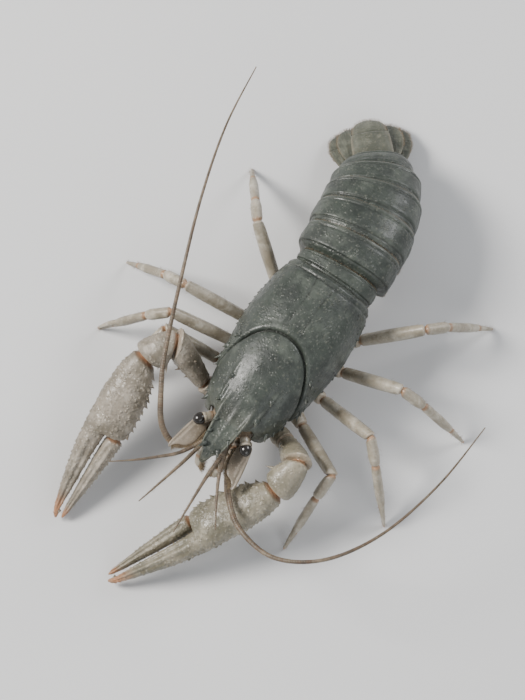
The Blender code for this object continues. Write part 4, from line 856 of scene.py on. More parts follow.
def legJoints(side, number):
    leg = legs["shape"][side, number]
    hip, normal = sternumSide(legs["hipY"][number], side)
    out, down = heading(side, leg["upper"]), heading(side, leg["lower"])
    coxa = hip + heading(side, leg["upper"] * legs["coxaTurn"]) * legs["coxaLength"] - up
    ischium = coxa + out * legs["ischiumLength"] + up * legs["ischiumRise"]
    rise = leg["knee"] - ischium[2]
    knee = ischium + out * math.sqrt(leg["thigh"] ** 2 - rise ** 2) + up * rise
    foot = knee + down * math.sqrt(leg["shin"] ** 2 - leg["knee"] ** 2)
    foot[2] = 0
    outward = unit(down * leg["knee"] + up * np.dot(foot - knee, down))
    wrist, ankle = (knee + (foot - knee) * share + outward * (leg["shin"] * bow)
                    for share, bow in legs["bends"])
    return normal, (hip, coxa, ischium, knee, wrist, ankle, foot)


def makeLeg(side, number, bristles):
    normal, joints = legJoints(side, number)
    ways, planes = jointPlanes(joints, normal)
    pincer = number < 4
    seed = number * 7.3 + (31 if side == "left" else 0)
    shape, hint = Shape(), np.cross(ways[0], up)
    lengths = ("coxa", "ischium", "merus", "carpus", "pincerShank" if pincer else "shank", "dactyl")
    for k, name in enumerate(lengths):
        if name == "carpus":
            shape.piece(f"leg_{number}_{side}_upper_shell", "legShell", "leg", f"leg_{number}_{side}_upper")
            shape, hint = Shape(), np.cross(ways[k], up)
        tip = name == "dactyl"
        look = legs["tipLook"] if tip else legs["look"] | {"rows": 60 if k in (2, 4) else 40}
        grid, normals, hint = segment(shape, *joints[k:k + 2], legs[name], hint, planes[k:k + 2],
                                      seed + (0 if tip else k), **look)
        if k > 1:
            bristlesOn(bristles, grid, normals, legs["bristles"] * (2 if tip else 1), legs["bristleLength"],
                       int(seed * 10) + k, ways[k] * 0.7)
    if pincer:
        # The fixed finger of the two small pincers on each side
        wrist, ankle, foot = joints[4:]
        shank, finger = ways[4], foot - ankle
        inward = unit(np.cross(np.cross(foot - wrist, up), finger))
        path = smoothPath((ankle - shank * 2.4 + inward * 0.55, ankle + finger * 0.12 + inward * 1.35,
                           foot - finger * 0.1 + inward * 0.75), 20)
        share = np.linspace(0, 1, len(path))
        grid = ringsAlong(path, 22, softCurve(legs["thumb"])(share))
        shape.tube(grid, 0.05, 0.8 * ease(share, 0.8, 1.0)[:, None], 0.03 * grains(grid, 0.5, seed))
    shape.piece(f"leg_{number}_{side}_lower_shell", "legShell", "leg", f"leg_{number}_{side}_lower")


legBristles = Shape()
for side in sides:
    for number in legs["hipY"]:
        makeLeg(side, number, legBristles)
legBristles.piece("leg_bristles", "bristle", "leg", "leg_3_left_lower", mapped=True)
print("legs ready")


# Tail

tail = {
    "rings": (
        {"length": 3.8, "half": 10.6, "top": 7.0, "belly": 4.4, "flap": 1.2},
        {"length": 7.2, "half": 12.4, "top": 8.3, "belly": 4.8, "flap": 4.6},
        {"length": 7.2, "half": 12.7, "top": 8.3, "belly": 4.8, "flap": 5.0},
        {"length": 6.8, "half": 12.2, "top": 7.8, "belly": 4.6, "flap": 4.8},
        {"length": 6.4, "half": 11.2, "top": 7.0, "belly": 4.2, "flap": 4.2},
        {"length": 6.8, "half": 9.4, "top": 5.9, "belly": 3.5, "flap": 2.0},
    ),
    "shellEnd": {"half": 11.05, "top": 7.75},
    "startZ": 23.2, "pitch": (0, 5, 14, 24, 33, 39), "yaw": (3, 6, 10, 17, 27, 36),
    "fanPitch": 30, "fanYaw": 43,
    # Share of the ring's length, size of the first five rings, size of the last one
    "swell": ((-0.2, 0.985, 0.985), (0.3, 0.985, 0.985), (0.55, 1, 1), (0.8, 1, 0.95), (1, 0.985, 0.86),
              (1.1, 0.965, 0.82)),
    "flapAlong": ((-0.2, 0.05), (0, 0.25), (0.12, 0.45), (0.32, 0.82), (0.58, 1.0), (0.8, 0.78), (1, 0.33),
                  (1.1, 0.1)),
    "thickness": 0.35, "hindEdge": 1.05, "tuck": 0.14,
    # How small a ring's front is, to slip close under what is before it: share of its size, room beside
    "underShare": 0.968, "underRoom": 0.47,
}


def tailWay(pitch, yaw):
    pitch, yaw = math.radians(pitch), math.radians(yaw)
    return np.array((-math.sin(yaw) * math.cos(pitch), math.cos(yaw) * math.cos(pitch), -math.sin(pitch)))


def tailFrame(way):
    across = unit((way[1], -way[0], 0))
    return across, unit(np.cross(across, way))


tailTurns = zip((*tail["pitch"], tail["fanPitch"]), (*tail["yaw"], tail["fanYaw"]))
tailWays = [tailWay(pitch, yaw) for pitch, yaw in tailTurns]
fanWay = tailWays[-1]
tailPlanes = [-forward] + [unit(a + b) for a, b in zip(tailWays, tailWays[1:])]
tailSteps = [way * ring["length"] for way, ring in zip(tailWays, tail["rings"])]
tailJoints = np.cumsum([up * tail["startZ"], *tailSteps], axis=0)


def placeOnTail(k, share, x, rise):
    # Points of ring k at each share, given across and above its middle line
    way, across, above = tailWays[k], *tailFrame(tailWays[k])
    offset, along = x[..., None] * across + rise[..., None] * above, share * tail["rings"][k]["length"]
    inside = np.clip(share, 0, 1)
    for plane, near in ((tailPlanes[k], 1 - inside), (tailPlanes[k + 1], inside)):
        along = along - (offset @ plane) / (way @ plane) * near ** 1.3
    return tailJoints[k] + offset + way * along[..., None]


def makeTailRing(k, bristles):
    ring, way = tail["rings"][k], tailWays[k]
    shares = spaced((-tail["tuck"], 0.34, 0.88, tail["hindEdge"]), (25, 19, 11))
    share = shares[:, None]
    swell = softCurve(tail["swell"], 2 if k == 5 else 1)(share) * (1 - 0.03 * ease(share, 0.0, -0.12))
    # The front of each ring slips close under the ring, or the carapace, before it
    before = tail["rings"][k - 1] if k else tail["shellEnd"]
    fits = {size: min(1.0, (tail["underShare"] * before[size] - tail["underRoom"]) / ring[size])
            for size in ("half", "top")}
    half, top = (ring[size] * swell * (fit + (1 - fit) * ease(share, 0.02, 0.3))
                 for size, fit in fits.items())
    # Up the left flap, over the back and down the right flap
    flap, arch = np.linspace(0, 1, 18, endpoint=False), np.linspace(0, math.pi, 105)
    side, drop, flat = 0.94 + 0.06 * ease(flap, 0, 0.85), flap - 1, 0 * flap
    x = half * np.concatenate((side, signedPower(np.cos(arch), 2 / 2.3), -side[::-1]))
    rise = (top * np.concatenate((flat, signedPower(np.sin(arch), 2 / 2.15), flat))
            + (ring["belly"] + ring["flap"] * softCurve(tail["flapAlong"])(share))
            * np.concatenate((drop, 0 * arch, drop[::-1])))
    grid = placeOnTail(k, share, x, rise)
    normals = gridNormals(grid, False)
    height = np.clip(rise / ring["top"], -1, 1)
    # A smooth front part, a groove across the back, a low swelling on each side and a rolled hind rim
    upper, middle = ease(height, -0.3, 0.1), 0.22 * bell(height, -0.12, 0.16) * bell(share, 0.6, 0.22)
    out = middle - 0.30 * bell(share, 0.24, 0.035) * upper - 0.12 * ease(share, 0.24, 0.1)
    out += 0.14 * bell(share, 0.36, 0.09) - 0.16 * bell(share, 0.90, 0.03) + 0.08 * bell(share, 0.97, 0.03)
    out -= 0.15 * bell(height, 0.12, 0.08) * bell(share, 0.6, 0.3)
    # Painted shade: the line before the hind rim, the tucked front of the ring and the groove across the back
    # are darkened in colour
    tone = 0.38 * ease(share, 0.95, 1.02) - 0.3 * bell(share, 0.905, 0.025) - 0.06 * ease(share, 0.2, 0.02)
    tone = tone + 0.30 * ease(height, -0.55, -0.9) - 0.55 * bell(share, 0.24, 0.03) * upper
    bumps = grains(grid, 0.85, 3.0 + k) * ease(share, 0.25, 0.33) * ease(share, 0.93, 0.88)
    out += 0.05 * bumps * (0.4 + 0.6 * ease(height, 0.7, 0.0)) + 0.07 * cloud(grid, 3.0, k)
    grid = grid + normals * out[..., None]
    shape = Shape()
    shape.sheet(grid, tone + 0.16 * bumps, 0.22 * ease(share, 0.16, 0.02) + 0.4 * ease(height, -0.7, -1.0))
    shape.piece(f"tail_shell_{k + 1}", "backShell", "shell", f"tail_ring_{k + 1}",
                thickness=tail["thickness"])
    # A fringe under the hind edge and along the flaps
    draw = np.random.RandomState(40 + k)
    pick, above = np.arange(2, x.shape[1] - 2), tailFrame(way)[1]
    inward = -normals[-1, pick]
    edgeHairs(bristles, draw, grid[-1, pick] + inward * 0.2, 3, way + inward * 0.25, inward * 0.1,
              (0.35, 0.8), 0.03, 0.05, 0.12, 1, np.repeat(pick / x.shape[1], 3))
    for column in (0, -1):
        edgeHairs(bristles, draw, grid[6:, column] + above * 0.15, 6, way * 0.35 - above, way * 0.2,
                  (0.5, 1.3), 0.03, 0.07, 0.2)


def makeTailCore():
    # The body inside the rings, soft below, with a hard bar across each ring
    across, above = oval(84, 2.3)[0], np.sin(ringTurns(84))
    across = across * np.where(above < 0, 0.86, 1.0)
    under = ease(above, -0.2, -0.7)
    rows, tones, warms = [], [], []
    for k, ring in enumerate(tail["rings"]):
        small = min(1.0, tail["rings"][k - 1]["half"] / ring["half"]) if k else 0.97
        share = np.linspace(0.04 if k else -0.35, 0.96, 16)[:, None]
        swell = small + (1 - small) * ease(share, 0.0, 0.35)
        swell = swell * (0.90 - (0.14 * ease(share, 0.5, 1) if k == 5 else 0))
        bar = bell(share, 0.30, 0.11)
        rise = np.where(above > 0, (ring["top"] * swell - 0.35) * signedPower(above, 2 / 2.15),
                        ring["belly"] * signedPower(above, 2 / 3.2))
        rise = rise - under * (0.45 * bar - 0.35 * bell(share, 0.72, 0.2))
        rows.append(placeOnTail(k, share, (ring["half"] * swell - 0.5) * across, rise))
        # Below, each ring's narrow front, where it meets the ring before, is darkened as painted shade
        tones.append(under * (0.75 * bar - 0.45 * bell(share, 0.05, 0.12)))
        warms.append(0.3 * under * (1 - bar))
    shape = Shape()
    shape.tube(np.vstack(rows), np.vstack(tones), np.vstack(warms))
    shape.piece("tail_core", "softSkin", "underside", *(f"tail_ring_{k + 1}" for k in range(6)))


swimmeret = {
    "reach": 6.2, "aside": 0.47, "along": 0.42, "bristleLength": (0.7, 1.4),
    # Along each part: half width and half depth
    "stalk": ((0, 0.95, 0.62), (1, 0.75, 0.5)),
    "bladeWidth": ((0, 0.42), (0.35, 0.72), (0.75, 0.58), (1, 0.12)),
    "bladeDepth": ((0, 0.34), (0.5, 0.22), (1, 0.08)),
    # Two blades: place aside, lean aside, length
    "blades": ((0.34, 0.16, 1.0), (-0.28, -0.22, 0.94)),
}


def makeSwimmerets(k, bristles):
    # Under rings two to five: a stalk with two fringed blades on each side
    ring, way, across, above = tail["rings"][k], tailWays[k], *tailFrame(tailWays[k])
    middle = tailJoints[k] + way * (ring["length"] * swimmeret["along"]) - above * (ring["belly"] - 0.6)
    reach, back = swimmeret["reach"], way - above
    shape = Shape()
    for sign in sides.values():
        root = middle + across * (sign * ring["half"] * swimmeret["aside"])
        knee = root - above * (reach * 0.35) + way * 0.8
        path = smoothPath((root + above, root, knee), 8)
        share = np.linspace(0, 1, len(path))
        wide, deep = (softCurve(swimmeret["stalk"], column)(share) for column in (1, 2))
        shape.tube(ringsAlong(path, 22, wide, deep, across), -0.1, 0.3)
        for aside, swing, length in swimmeret["blades"]:
            start = knee + across * (sign * aside) + above * 0.3
            tip = start + (-above * 0.47 + way * 0.34 + across * (sign * swing)) * reach * length
            path = smoothPath((start, (start + tip) / 2 - way * 0.45, tip), 12)
            share = np.linspace(0, 1, len(path))
            wide, deep = (softCurve(swimmeret[size])(share) for size in ("bladeWidth", "bladeDepth"))
            blade = ringsAlong(path, 24, wide, deep, across)
            cuts = 0.05 * np.sin(60 * share)[:, None]
            blade = blade + gridNormals(blade) * cuts[..., None]
            shape.tube(blade, cuts * 4, 0.25)
            draw = np.random.RandomState(k * 10 + int(sign * 3 + aside * 10) + 60)
            for column in (0, 12):
                edge = blade[6:, column]
                outward = unit(edge - blade[6:].mean(1))
                edgeHairs(bristles, draw, edge, 5, outward + back * 0.6, back * 0.15,
                          swimmeret["bristleLength"], 0.028, 0.04, 0.15, around=column / 24)
    shape.piece(f"swimmerets_{k + 1}", "legShell", "shell", f"tail_ring_{k + 1}")


fan = {
    # Each vane's outline: distance from its root, reach to the left and to the right, half thickness
    "middle": ((0, 4.5, 4.5, 1.2), (1.5, 5.0, 5.0, 1.25), (6, 4.9, 4.9, 1.0), (8.6, 4.65, 4.65, 0.85),
               (9.0, 4.25, 4.25, 0.72), (11.2, 3.95, 3.95, 0.55), (12.5, 3.0, 3.0, 0.42),
               (13.15, 1.9, 1.9, 0.32), (13.4, 0.9, 0.9, 0.24)),
    "inner": ((0, 1.4, 1.4, 0.75), (1.4, 1.9, 2.1, 0.75), (4, 3.1, 3.5, 0.58), (8, 3.7, 3.85, 0.5),
              (11.2, 3.1, 3.1, 0.42), (12.8, 1.9, 1.9, 0.34), (13.3, 0.8, 0.8, 0.24)),
    "outer": ((0, 1.3, 1.5, 0.8), (1.4, 1.9, 2.2, 0.8), (4.5, 3.3, 3.7, 0.58), (9.2, 3.9, 4.1, 0.52),
              (9.7, 3.75, 3.95, 0.42), (12.4, 3.0, 3.0, 0.38), (13.7, 1.8, 1.8, 0.32),
              (14.2, 0.7, 0.7, 0.24)),
    # Side vanes: shift aside, lift, spread in degrees
    "places": {"inner": (3.9, 0.35, 4), "outer": (5.0, -1.75, 9)},
    "middleLift": 2.6, "arch": 0.0042, "mitre": 5.0, "fringe": 1.15,
    # The middle vane's spines on each side: along, aside, size
    "spines": ((8.35, 4.45, 1.0), (8.6, 3.7, 0.65)),
    "seamSpines": 9, "seamY": 9.2,
}


def leafGrid(origin, shift, way, across, above, normal, stations, bend, arch, rows, columns):
    # A thin vane: columns run round it, from one side over the top
    origin = origin + shift - way * (np.dot(shift, normal) / np.dot(way, normal))
    t = np.linspace(0, 1, rows)[:, None]
    distance = stations[-1][0] * (0.35 * t + 0.65 * (0.5 - 0.5 * np.cos(math.pi * t)))
    left, right, thick = (softCurve(stations, column)(distance) for column in (1, 2, 3))
    turns = ringTurns(columns)
    x = (left - right) / 2 + (left + right) / 2 * signedPower(np.cos(turns), 0.8)
    rise = thick * signedPower(np.sin(turns), 0.9) - bend * (x / 9.0) ** 2 - arch * distance ** 2
    offset = x[..., None] * across + rise[..., None] * above
    slide = np.maximum(0, 1 - distance / fan["mitre"]) * (offset @ normal) / (way @ normal)
    return origin + offset + way * (distance - slide)[..., None], distance, x, np.sin(turns)


def fringe(bristles, grid, distance, way, across, startAt, seed):
    # Close bristles round the free edge of a vane, longest at its end
    draw = np.random.RandomState(seed)
    columns, length = grid.shape[1], fan["fringe"]
    first = int(np.argmax(distance[:, 0] > startAt))
    for column, sign in ((0, 1), (columns // 2, -1)):
        edge = grid[first:, column]
        along = distances(edge)
        places = np.arange(0, along[-1], 0.085)
        tangent = unit(valuesAt(places, along, np.gradient(edge, axis=0)))
        outward = unit(np.cross(tangent, np.cross(across, way))) * sign
        outward = np.where((outward @ across * sign)[:, None] < 0, -outward, outward)
        toEnd = ease(places / along[-1], 0.25, 0.85)[:, None]
        ways = outward * (0.75 - 0.3 * toEnd) + way * (0.5 + 0.7 * toEnd)
        ways = ways + draw.normal(0, 0.09, tangent.shape)
        sizes = length * (0.55 + 0.45 * toEnd[:, 0]) * draw.uniform(0.7, 1.1, len(ways))
        roots = valuesAt(places, along, edge) - outward * 0.12 + draw.normal(0, 0.05, ways.shape)
        hairs(bristles, roots, ways, sizes, 0.035, way * 0.1, places / along[-1], column / columns)
    t = np.linspace(0, 1, 46)[:, None]
    low, high = grid[-1, 0] - way * 0.1, grid[-1, columns // 2] - way * 0.1
    edgeHairs(bristles, draw, low + (high - low) * t, 1, way + across * (0.5 - t) * 0.9, way * 0.05,
              (0.75 * length, 1.05 * length), 0.035, 0.05, 0.09, 1, t[:, 0])


def makeMiddleVane(bristles):
    way, across, above = fanWay, *tailFrame(fanWay)
    shift = above * fan["middleLift"]
    grid, distance, x, top = leafGrid(fanStart, shift, way, across, above, tailPlanes[-1], fan["middle"], 0.6,
                                      fan["arch"], 96, 96)
    upper, aside = ease(top, -0.1, 0.25), np.abs(x)
    edge = ease(aside / softCurve(fan["middle"])(distance), 0.84, 0.97)
    streaks = 0.035 * np.cos(x * 9) * upper * ease(distance, 9.0, 10.5)
    bumps = grains(grid, 0.7, 5.0) * ease(distance, 0.3, 1.2)
    out = upper * (0.1 * bell(aside, 3.2, 0.5) * bell(distance, 5, 3.4) - 0.16 * bell(distance, 8.8, 0.22)
                   - 0.12 * bell(aside, 2.2, 0.35) * bell(distance, 5, 3) + 0.08 * bell(x, 0, 1.2))
    out = out + 0.04 * bumps + streaks + 0.06 * edge
    # Painted shade: the groove across the vane is darkened, and so is the root of the vane where it meets the
    # tail
    tone = 0.15 * bumps + 0.3 * edge - 0.5 * upper * bell(distance, 8.8, 0.2) + 3 * streaks
    shape = Shape()
    shape.tube(grid, tone - 0.25 * ease(distance, 1.2, 0.2), 0.15 + 0.2 * edge, out)
    for sign in (1, -1):
        for along, beside, size in fan["spines"]:
            root = fanStart + shift - above * 0.35 + way * along + across * (sign * beside)
            shape.spike(root, way + across * (sign * 0.3), 0.3 * size, 1.5 * size, 0.6, -above * 0.1)
    shape.piece("tail_middle_vane", "fanShell", "tail_fan", "telson")
    fringe(bristles, grid, distance, way, across, 8.9, 71)


def makeSideVane(side, sign, number, part, bristles):
    across, above = tailFrame(fanWay)
    aside, lift, spread = fan["places"][part]
    way = turned(fanWay, above, -math.radians(spread) * sign)
    shift = above * lift + across * (sign * aside)
    across = np.cross(way, above)
    stations = fan[part] if side == "left" else [(d, b, a, t) for d, a, b, t in fan[part]]
    grid, distance, x, top = leafGrid(fanStart, shift, way, across, above, tailPlanes[-1], stations, 0.5,
                                      fan["arch"], 92, 80)
    upper = ease(top, -0.1, 0.25)
    ridge = upper * bell(x, 0, 0.38) * ease(distance, 0.5, 2.5) * ease(distance, 13.2, 10.5)
    sideRidge = upper * bell(x * sign, 1.6, 0.3) * bell(distance, 6, 3.4)
    seam = upper * bell(distance + 0.12 * np.cos(x * 5.5), 9.45, 0.16) * (part == "outer")
    seamRim = upper * bell(distance, 9.05, 0.2) * (part == "outer")
    streaks = upper * 0.03 * np.cos(x * 10 / (0.5 + distance / 14)) * ease(distance, 4, 9)
    half = sum(softCurve(stations, column)(distance) for column in (1, 2)) / 2
    edge = ease(np.abs(x) / half, 0.8, 0.98)
    bumps = grains(grid, 0.7, 9.0 + number) * ease(distance, 0.3, 1.2)
    out = 0.26 * ridge + 0.12 * sideRidge - 0.2 * seam + 0.1 * seamRim + streaks + 0.035 * bumps
    # Painted shade: the seam is darkened, and so is the root of the vane where it meets the tail
    tone = 0.3 * ridge + 0.12 * sideRidge - 0.6 * seam + 0.3 * seamRim + 3 * streaks + 0.14 * bumps
    shape = Shape()
    shape.tube(grid, tone + 0.25 * edge - 0.2 * ease(distance, 1.2, 0.2), 0.12 + 0.22 * edge, out)
    if part == "outer":
        back = np.dot(shift, tailPlanes[-1]) / np.dot(way, tailPlanes[-1])
        root = fanStart + shift - way * (back - fan["seamY"])
        for aside in (np.arange(fan["seamSpines"]) - 4) / 4.6 * 3.8:
            rise = 0.28 - fan["arch"] * 85 - 0.5 * (aside / 9) ** 2
            shape.spike(root + across * aside + above * rise, way + above * 0.1, 0.16, 0.55, 0.3, count=8)
    shape.piece(f"tail_vane_{side}_{part}", "fanShell", "tail_fan", f"tail_fan_{side}_{part}")
    fringe(bristles, grid, distance, way, across, 5.5, 80 + 10 * number + sign)


fanStart = tailJoints[-1] + fanWay * (0.15 / np.dot(fanWay, tailPlanes[-1]))
tailBristles = Shape()
for k in range(6):
    makeTailRing(k, tailBristles)
makeTailCore()
for k in range(1, 5):
    makeSwimmerets(k, tailBristles)
makeMiddleVane(tailBristles)
for side, sign in sides.items():
    for number, part in enumerate(fan["places"]):
        makeSideVane(side, sign, number, part, tailBristles)
tailBristles.piece("tail_bristles", "bristle", "tail_fan", "telson", mapped=True)
print("tail ready")


# Claws and their arms

claws = {
    "hipY": -34.4, "coxaLength": 2.6, "coxaShift": (0, -0.4, 0.2), "roll": math.radians(12),
    # The moving finger's root and end: share of the claw's length, how far inward, how far down
    "fingerRoot": (0.463, 3.3, 0.1), "fingerEnd": (0.985, 1.6, 0),
    # The hooked tip of the fixed finger: share and height in lengths of the claw, root radius
    "hook": (0.965, 0.033, 0.5),
    # Seen from its own side, so that both are given as on the left
    "left": {"shoulder": (12.2, -36.0, 11.2), "elbow": (18.4, -40.2, 22.6), "wrist": (17.6, -48.0, 19.4),
             "tip": (-4.5, -87.5, 2.4), "paint": "leftClawShell", "seed": 3.0},
    "right": {"shoulder": (12.6, -35.4, 11.0), "elbow": (22.6, -32.6, 21.2), "wrist": (26.8, -39.2, 19.0),
              "tip": (24.4, -82.0, 2.2), "paint": "clawShell", "seed": 47.0},
    "coxa": ((0, 2.3, 2.2), (0.6, 2.5, 2.3), (1, 2.0, 2.0)),
    "ischium": ((0, 2.0, 2.0), (0.5, 2.5, 2.2), (1, 2.2, 2.1)),
    "merus": ((0, 2.0, 2.1), (0.15, 2.3, 2.6), (0.45, 2.8, 3.2), (0.8, 3.2, 3.7), (0.94, 3.1, 3.5),
              (1, 2.6, 2.9)),
    "carpus": ((0, 2.5, 2.6), (0.2, 3.2, 3.1), (0.5, 3.9, 3.7), (0.82, 4.1, 3.9), (1, 3.0, 3.0)),
    # Share of the length, reach to the outer and inner side, half depth, lift
    "palm": ((0, 2.7, 2.7, 2.6, 0), (0.05, 3.7, 3.6, 3.2, 0), (0.14, 4.8, 5.0, 3.8, 0.2),
             (0.28, 5.3, 5.8, 4.1, 0.3), (0.4, 5.2, 5.8, 3.9, 0.2), (0.447, 5.1, 5.35, 3.5, 0),
             (0.455, 5.07, 4.9, 3.35, 0), (0.461, 5.05, 2.2, 3.2, 0), (0.47, 5.0, 0.75, 3.05, 0),
             (0.56, 4.7, 0.35, 2.6, 0), (0.7, 3.8, 0.25, 2.1, 0), (0.84, 2.6, 0.2, 1.55, 0),
             (0.94, 1.5, 0.1, 1.0, 0), (0.985, 0.7, 0.45, 0.55, 0), (0.998, 0.15, 0.4, 0.2, 0)),
    "finger": ((0, 1.8, 2.4), (0.06, 2.1, 2.75), (0.25, 1.95, 2.4), (0.5, 1.55, 1.9), (0.75, 1.05, 1.35),
               (0.93, 0.6, 0.8), (0.99, 0.25, 0.32), (1, 0.1, 0.12)),
    "coxaLook": {"square": 2.2, "rows": 36, "columns": 44, "neckLength": 0.8, "grain": 0.1},
    "ischiumLook": {"square": 2.2, "rows": 54, "columns": 44, "grain": 0.12},
    "merusLook": {"square": 2.3, "rows": 80, "columns": 72, "neck": 0.66, "neckLength": 1.3, "grain": 0.17,
                  "spacing": 0.95},
    "carpusLook": {"square": 2.3, "rows": 80, "columns": 80, "neck": 0.62, "neckLength": 1.4, "grain": 0.2,
                   "spacing": 1.0},
    "palmLook": {"square": 2.2, "columns": 150, "neck": 0.62, "neckLength": 1.3, "rim": 0.0, "grain": 0.26,
                 "spacing": 0.95, "warmTip": 0.9},
    "fingerLook": {"square": 2.1, "rows": 190, "columns": 96, "neck": 0.74, "rim": 0.0, "grain": 0.14,
                   "warmNeck": 0.6, "warmTip": 0.9, "sink": 0.7},
    # Spines of the upper arm: share of the length, side, distance out, root radius, height
    "merusSpines": ((0.56, "inner", 2.45, 0.5, 2.0), (0.34, "inner", 2.15, 0.42, 1.45),
                    (0.62, "top", 3.2, 0.42, 1.6), (0.45, "inner", 2.4, 0.26, 0.8),
                    (0.70, "inner", 2.7, 0.3, 0.9), (0.24, "inner", 2.1, 0.24, 0.6),
                    (0.46, "top", 2.9, 0.28, 0.8), (0.32, "top", 2.7, 0.24, 0.6),
                    (0.76, "top", 3.45, 0.26, 0.7)),
    # Spines of the wrist piece: place and lean, each inward, above, along and straight up, then size
    "carpusSpines": (((3.4, 0, 0), (1, 0, 0.3), 0.6, 2.5), ((2.4, 0, 0, -2.4), (1, 0, 0, -0.7), 0.48, 1.8),
                     ((3.3, 0, 2.0), (1, 0, 0.5), 0.3, 0.9), ((2.7, 2.2, 1.2), (1, 1, 1), 0.34, 0.9),
                     ((2.9, 0, -1.9), (1, 0, 0), 0.3, 0.8), ((0.9, 3.3, 1.8), (0, 1, 1), 0.3, 0.7),
                     ((-0.8, 3.4, 2.0), (0, 1, 1), 0.28, 0.6)),
    # Rows of knobs start at these shares of the length. Each has its degrees from the inner edge toward
    # the upper side, count, root radius, height and the share where it ends
    "knobStart": 0.07, "fingerKnobStart": 0.12,
    "knobs": ((8, 10, 0.5, 0.95, 0.43), (27, 10, 0.4, 0.55, 0.42), (-18, 9, 0.4, 0.55, 0.42),
              (55, 10, 0.32, 0.24, 0.43), (82, 10, 0.3, 0.2, 0.43), (112, 11, 0.32, 0.24, 0.45),
              (172, 18, 0.32, 0.34, 0.68), (194, 18, 0.32, 0.34, 0.64), (-50, 10, 0.3, 0.28, 0.42)),
    "fingerKnobs": ((12, 12, 0.3, 0.4, 0.62), (-14, 12, 0.3, 0.4, 0.62), (60, 12, 0.3, 0.4, 0.62)),
    # Cutting edges: count, places and sizes from first to last, root radius, the bigger teeth, how much
    "palmTeeth": (34, (0.485, 0.96), (1.0, 0.5), 0.27, (10, 19), 2.0),
    "fingerTeeth": (32, (0.07, 0.94), (0.965, 0.53), 0.26, (7, 17), 1.9),
    "bristles": {"arm": (26, 0.6), "palm": (120, 0.6), "finger": (90, 0.6)},  # count, length
}


def makeArm(side, bristles):
    # Base, upper arm and wrist piece
    arm = claws[side]
    hip, normal = sternumSide(claws["hipY"], side)
    shoulder, elbow, wrist, tip = (onSide(arm[name], side) for name in ("shoulder", "elbow", "wrist", "tip"))
    coxa = hip + normal * claws["coxaLength"] + claws["coxaShift"]
    joints = (hip, coxa, shoulder, elbow, wrist, tip)
    ways, planes = jointPlanes(joints, normal)

    def limb(shape, k, name, hint):
        return segment(shape, *joints[k:k + 2], claws[name], hint, planes[k:k + 2], arm["seed"] + k,
                       **claws[name + "Look"])

    shape = Shape()
    hint = limb(shape, 0, "coxa", np.cross(ways[0], up))[2]
    limb(shape, 1, "ischium", hint)
    shape.piece(f"claw_arm_{side}_base_shell", arm["paint"], "claw", f"claw_arm_{side}_base")

    shape, way = Shape(), ways[2]
    grid, normals, _ = limb(shape, 2, "merus", np.cross(way, up))
    inner = squareTo(forward, way)
    outs = {"inner": inner, "top": np.cross(inner, way) * sides[side]}
    for share, out, reach, radius, height in claws["merusSpines"]:
        root = shoulder + (elbow - shoulder) * share + outs[out] * reach
        shape.spike(root, outs[out] + way * 0.35, radius, height, 0.9, way * 0.18)
    shape.piece(f"claw_arm_{side}_upper_shell", arm["paint"], "claw", f"claw_arm_{side}_upper")
    bristlesOn(bristles, grid, normals, *claws["bristles"]["arm"], int(arm["seed"]) + 100, way * 0.6)

    shape, way = Shape(), ways[3]
    grid, normals, _ = limb(shape, 3, "carpus", np.cross(way, up))
    inner, top = squareTo(onSide((-1, 0, 0), side), way), squareTo(up, way)
    middle = elbow + (wrist - elbow) * 0.55
    for place, lean, radius, height in claws["carpusSpines"]:
        root, spineWay = (sum(amount * axis for amount, axis in zip(amounts, (inner, top, way, up)))
                          for amounts in (place, lean))
        shape.spike(middle + root, spineWay, radius, height, 0.9, way * 0.12)
    shape.piece(f"claw_arm_{side}_wrist_shell", arm["paint"], "claw", f"claw_arm_{side}_wrist")
    bristlesOn(bristles, grid, normals, *claws["bristles"]["arm"], int(arm["seed"]) + 101, way * 0.6)
    return wrist, tip, planes[4:]


def knobRow(shape, grid, normals, shares, low, high, count, degrees, lean, radius, height, seed):
    # Uneven blunt knobs along a limb, the row standing at these degrees round it from its first column
    draw = random.Random(seed)
    columns = grid.shape[1]
    for i in range(count):
        share = low + (high - low) * (i + draw.uniform(-0.25, 0.25)) / (count - 1)
        row = int(np.searchsorted(shares, share))
        size = draw.uniform(0.7, 1.15)
        at = row, (round(degrees / 360 * columns) + draw.choice((-1, 0, 1))) % columns
        shape.spike(grid[at], normals[at] + lean, radius * size, height * size, 0.6, tone=0.45, warm=0.15,
                    count=12)


def cuttingEdge(shape, start, end, way, reachAt, count, places, sizes, radius, bigOnes, growth):
    for i, (share, size) in enumerate(zip(np.linspace(*places, count), np.linspace(*sizes, count))):
        big = growth if i in bigOnes else 1.0
        root = start + (end - start) * share + way * (reachAt(share) - 0.12)
        shape.spike(root, way, radius * size * big ** 0.7, 0.3 * size * big, 0.4, tone=0.55, warm=0.4,
                    count=12)


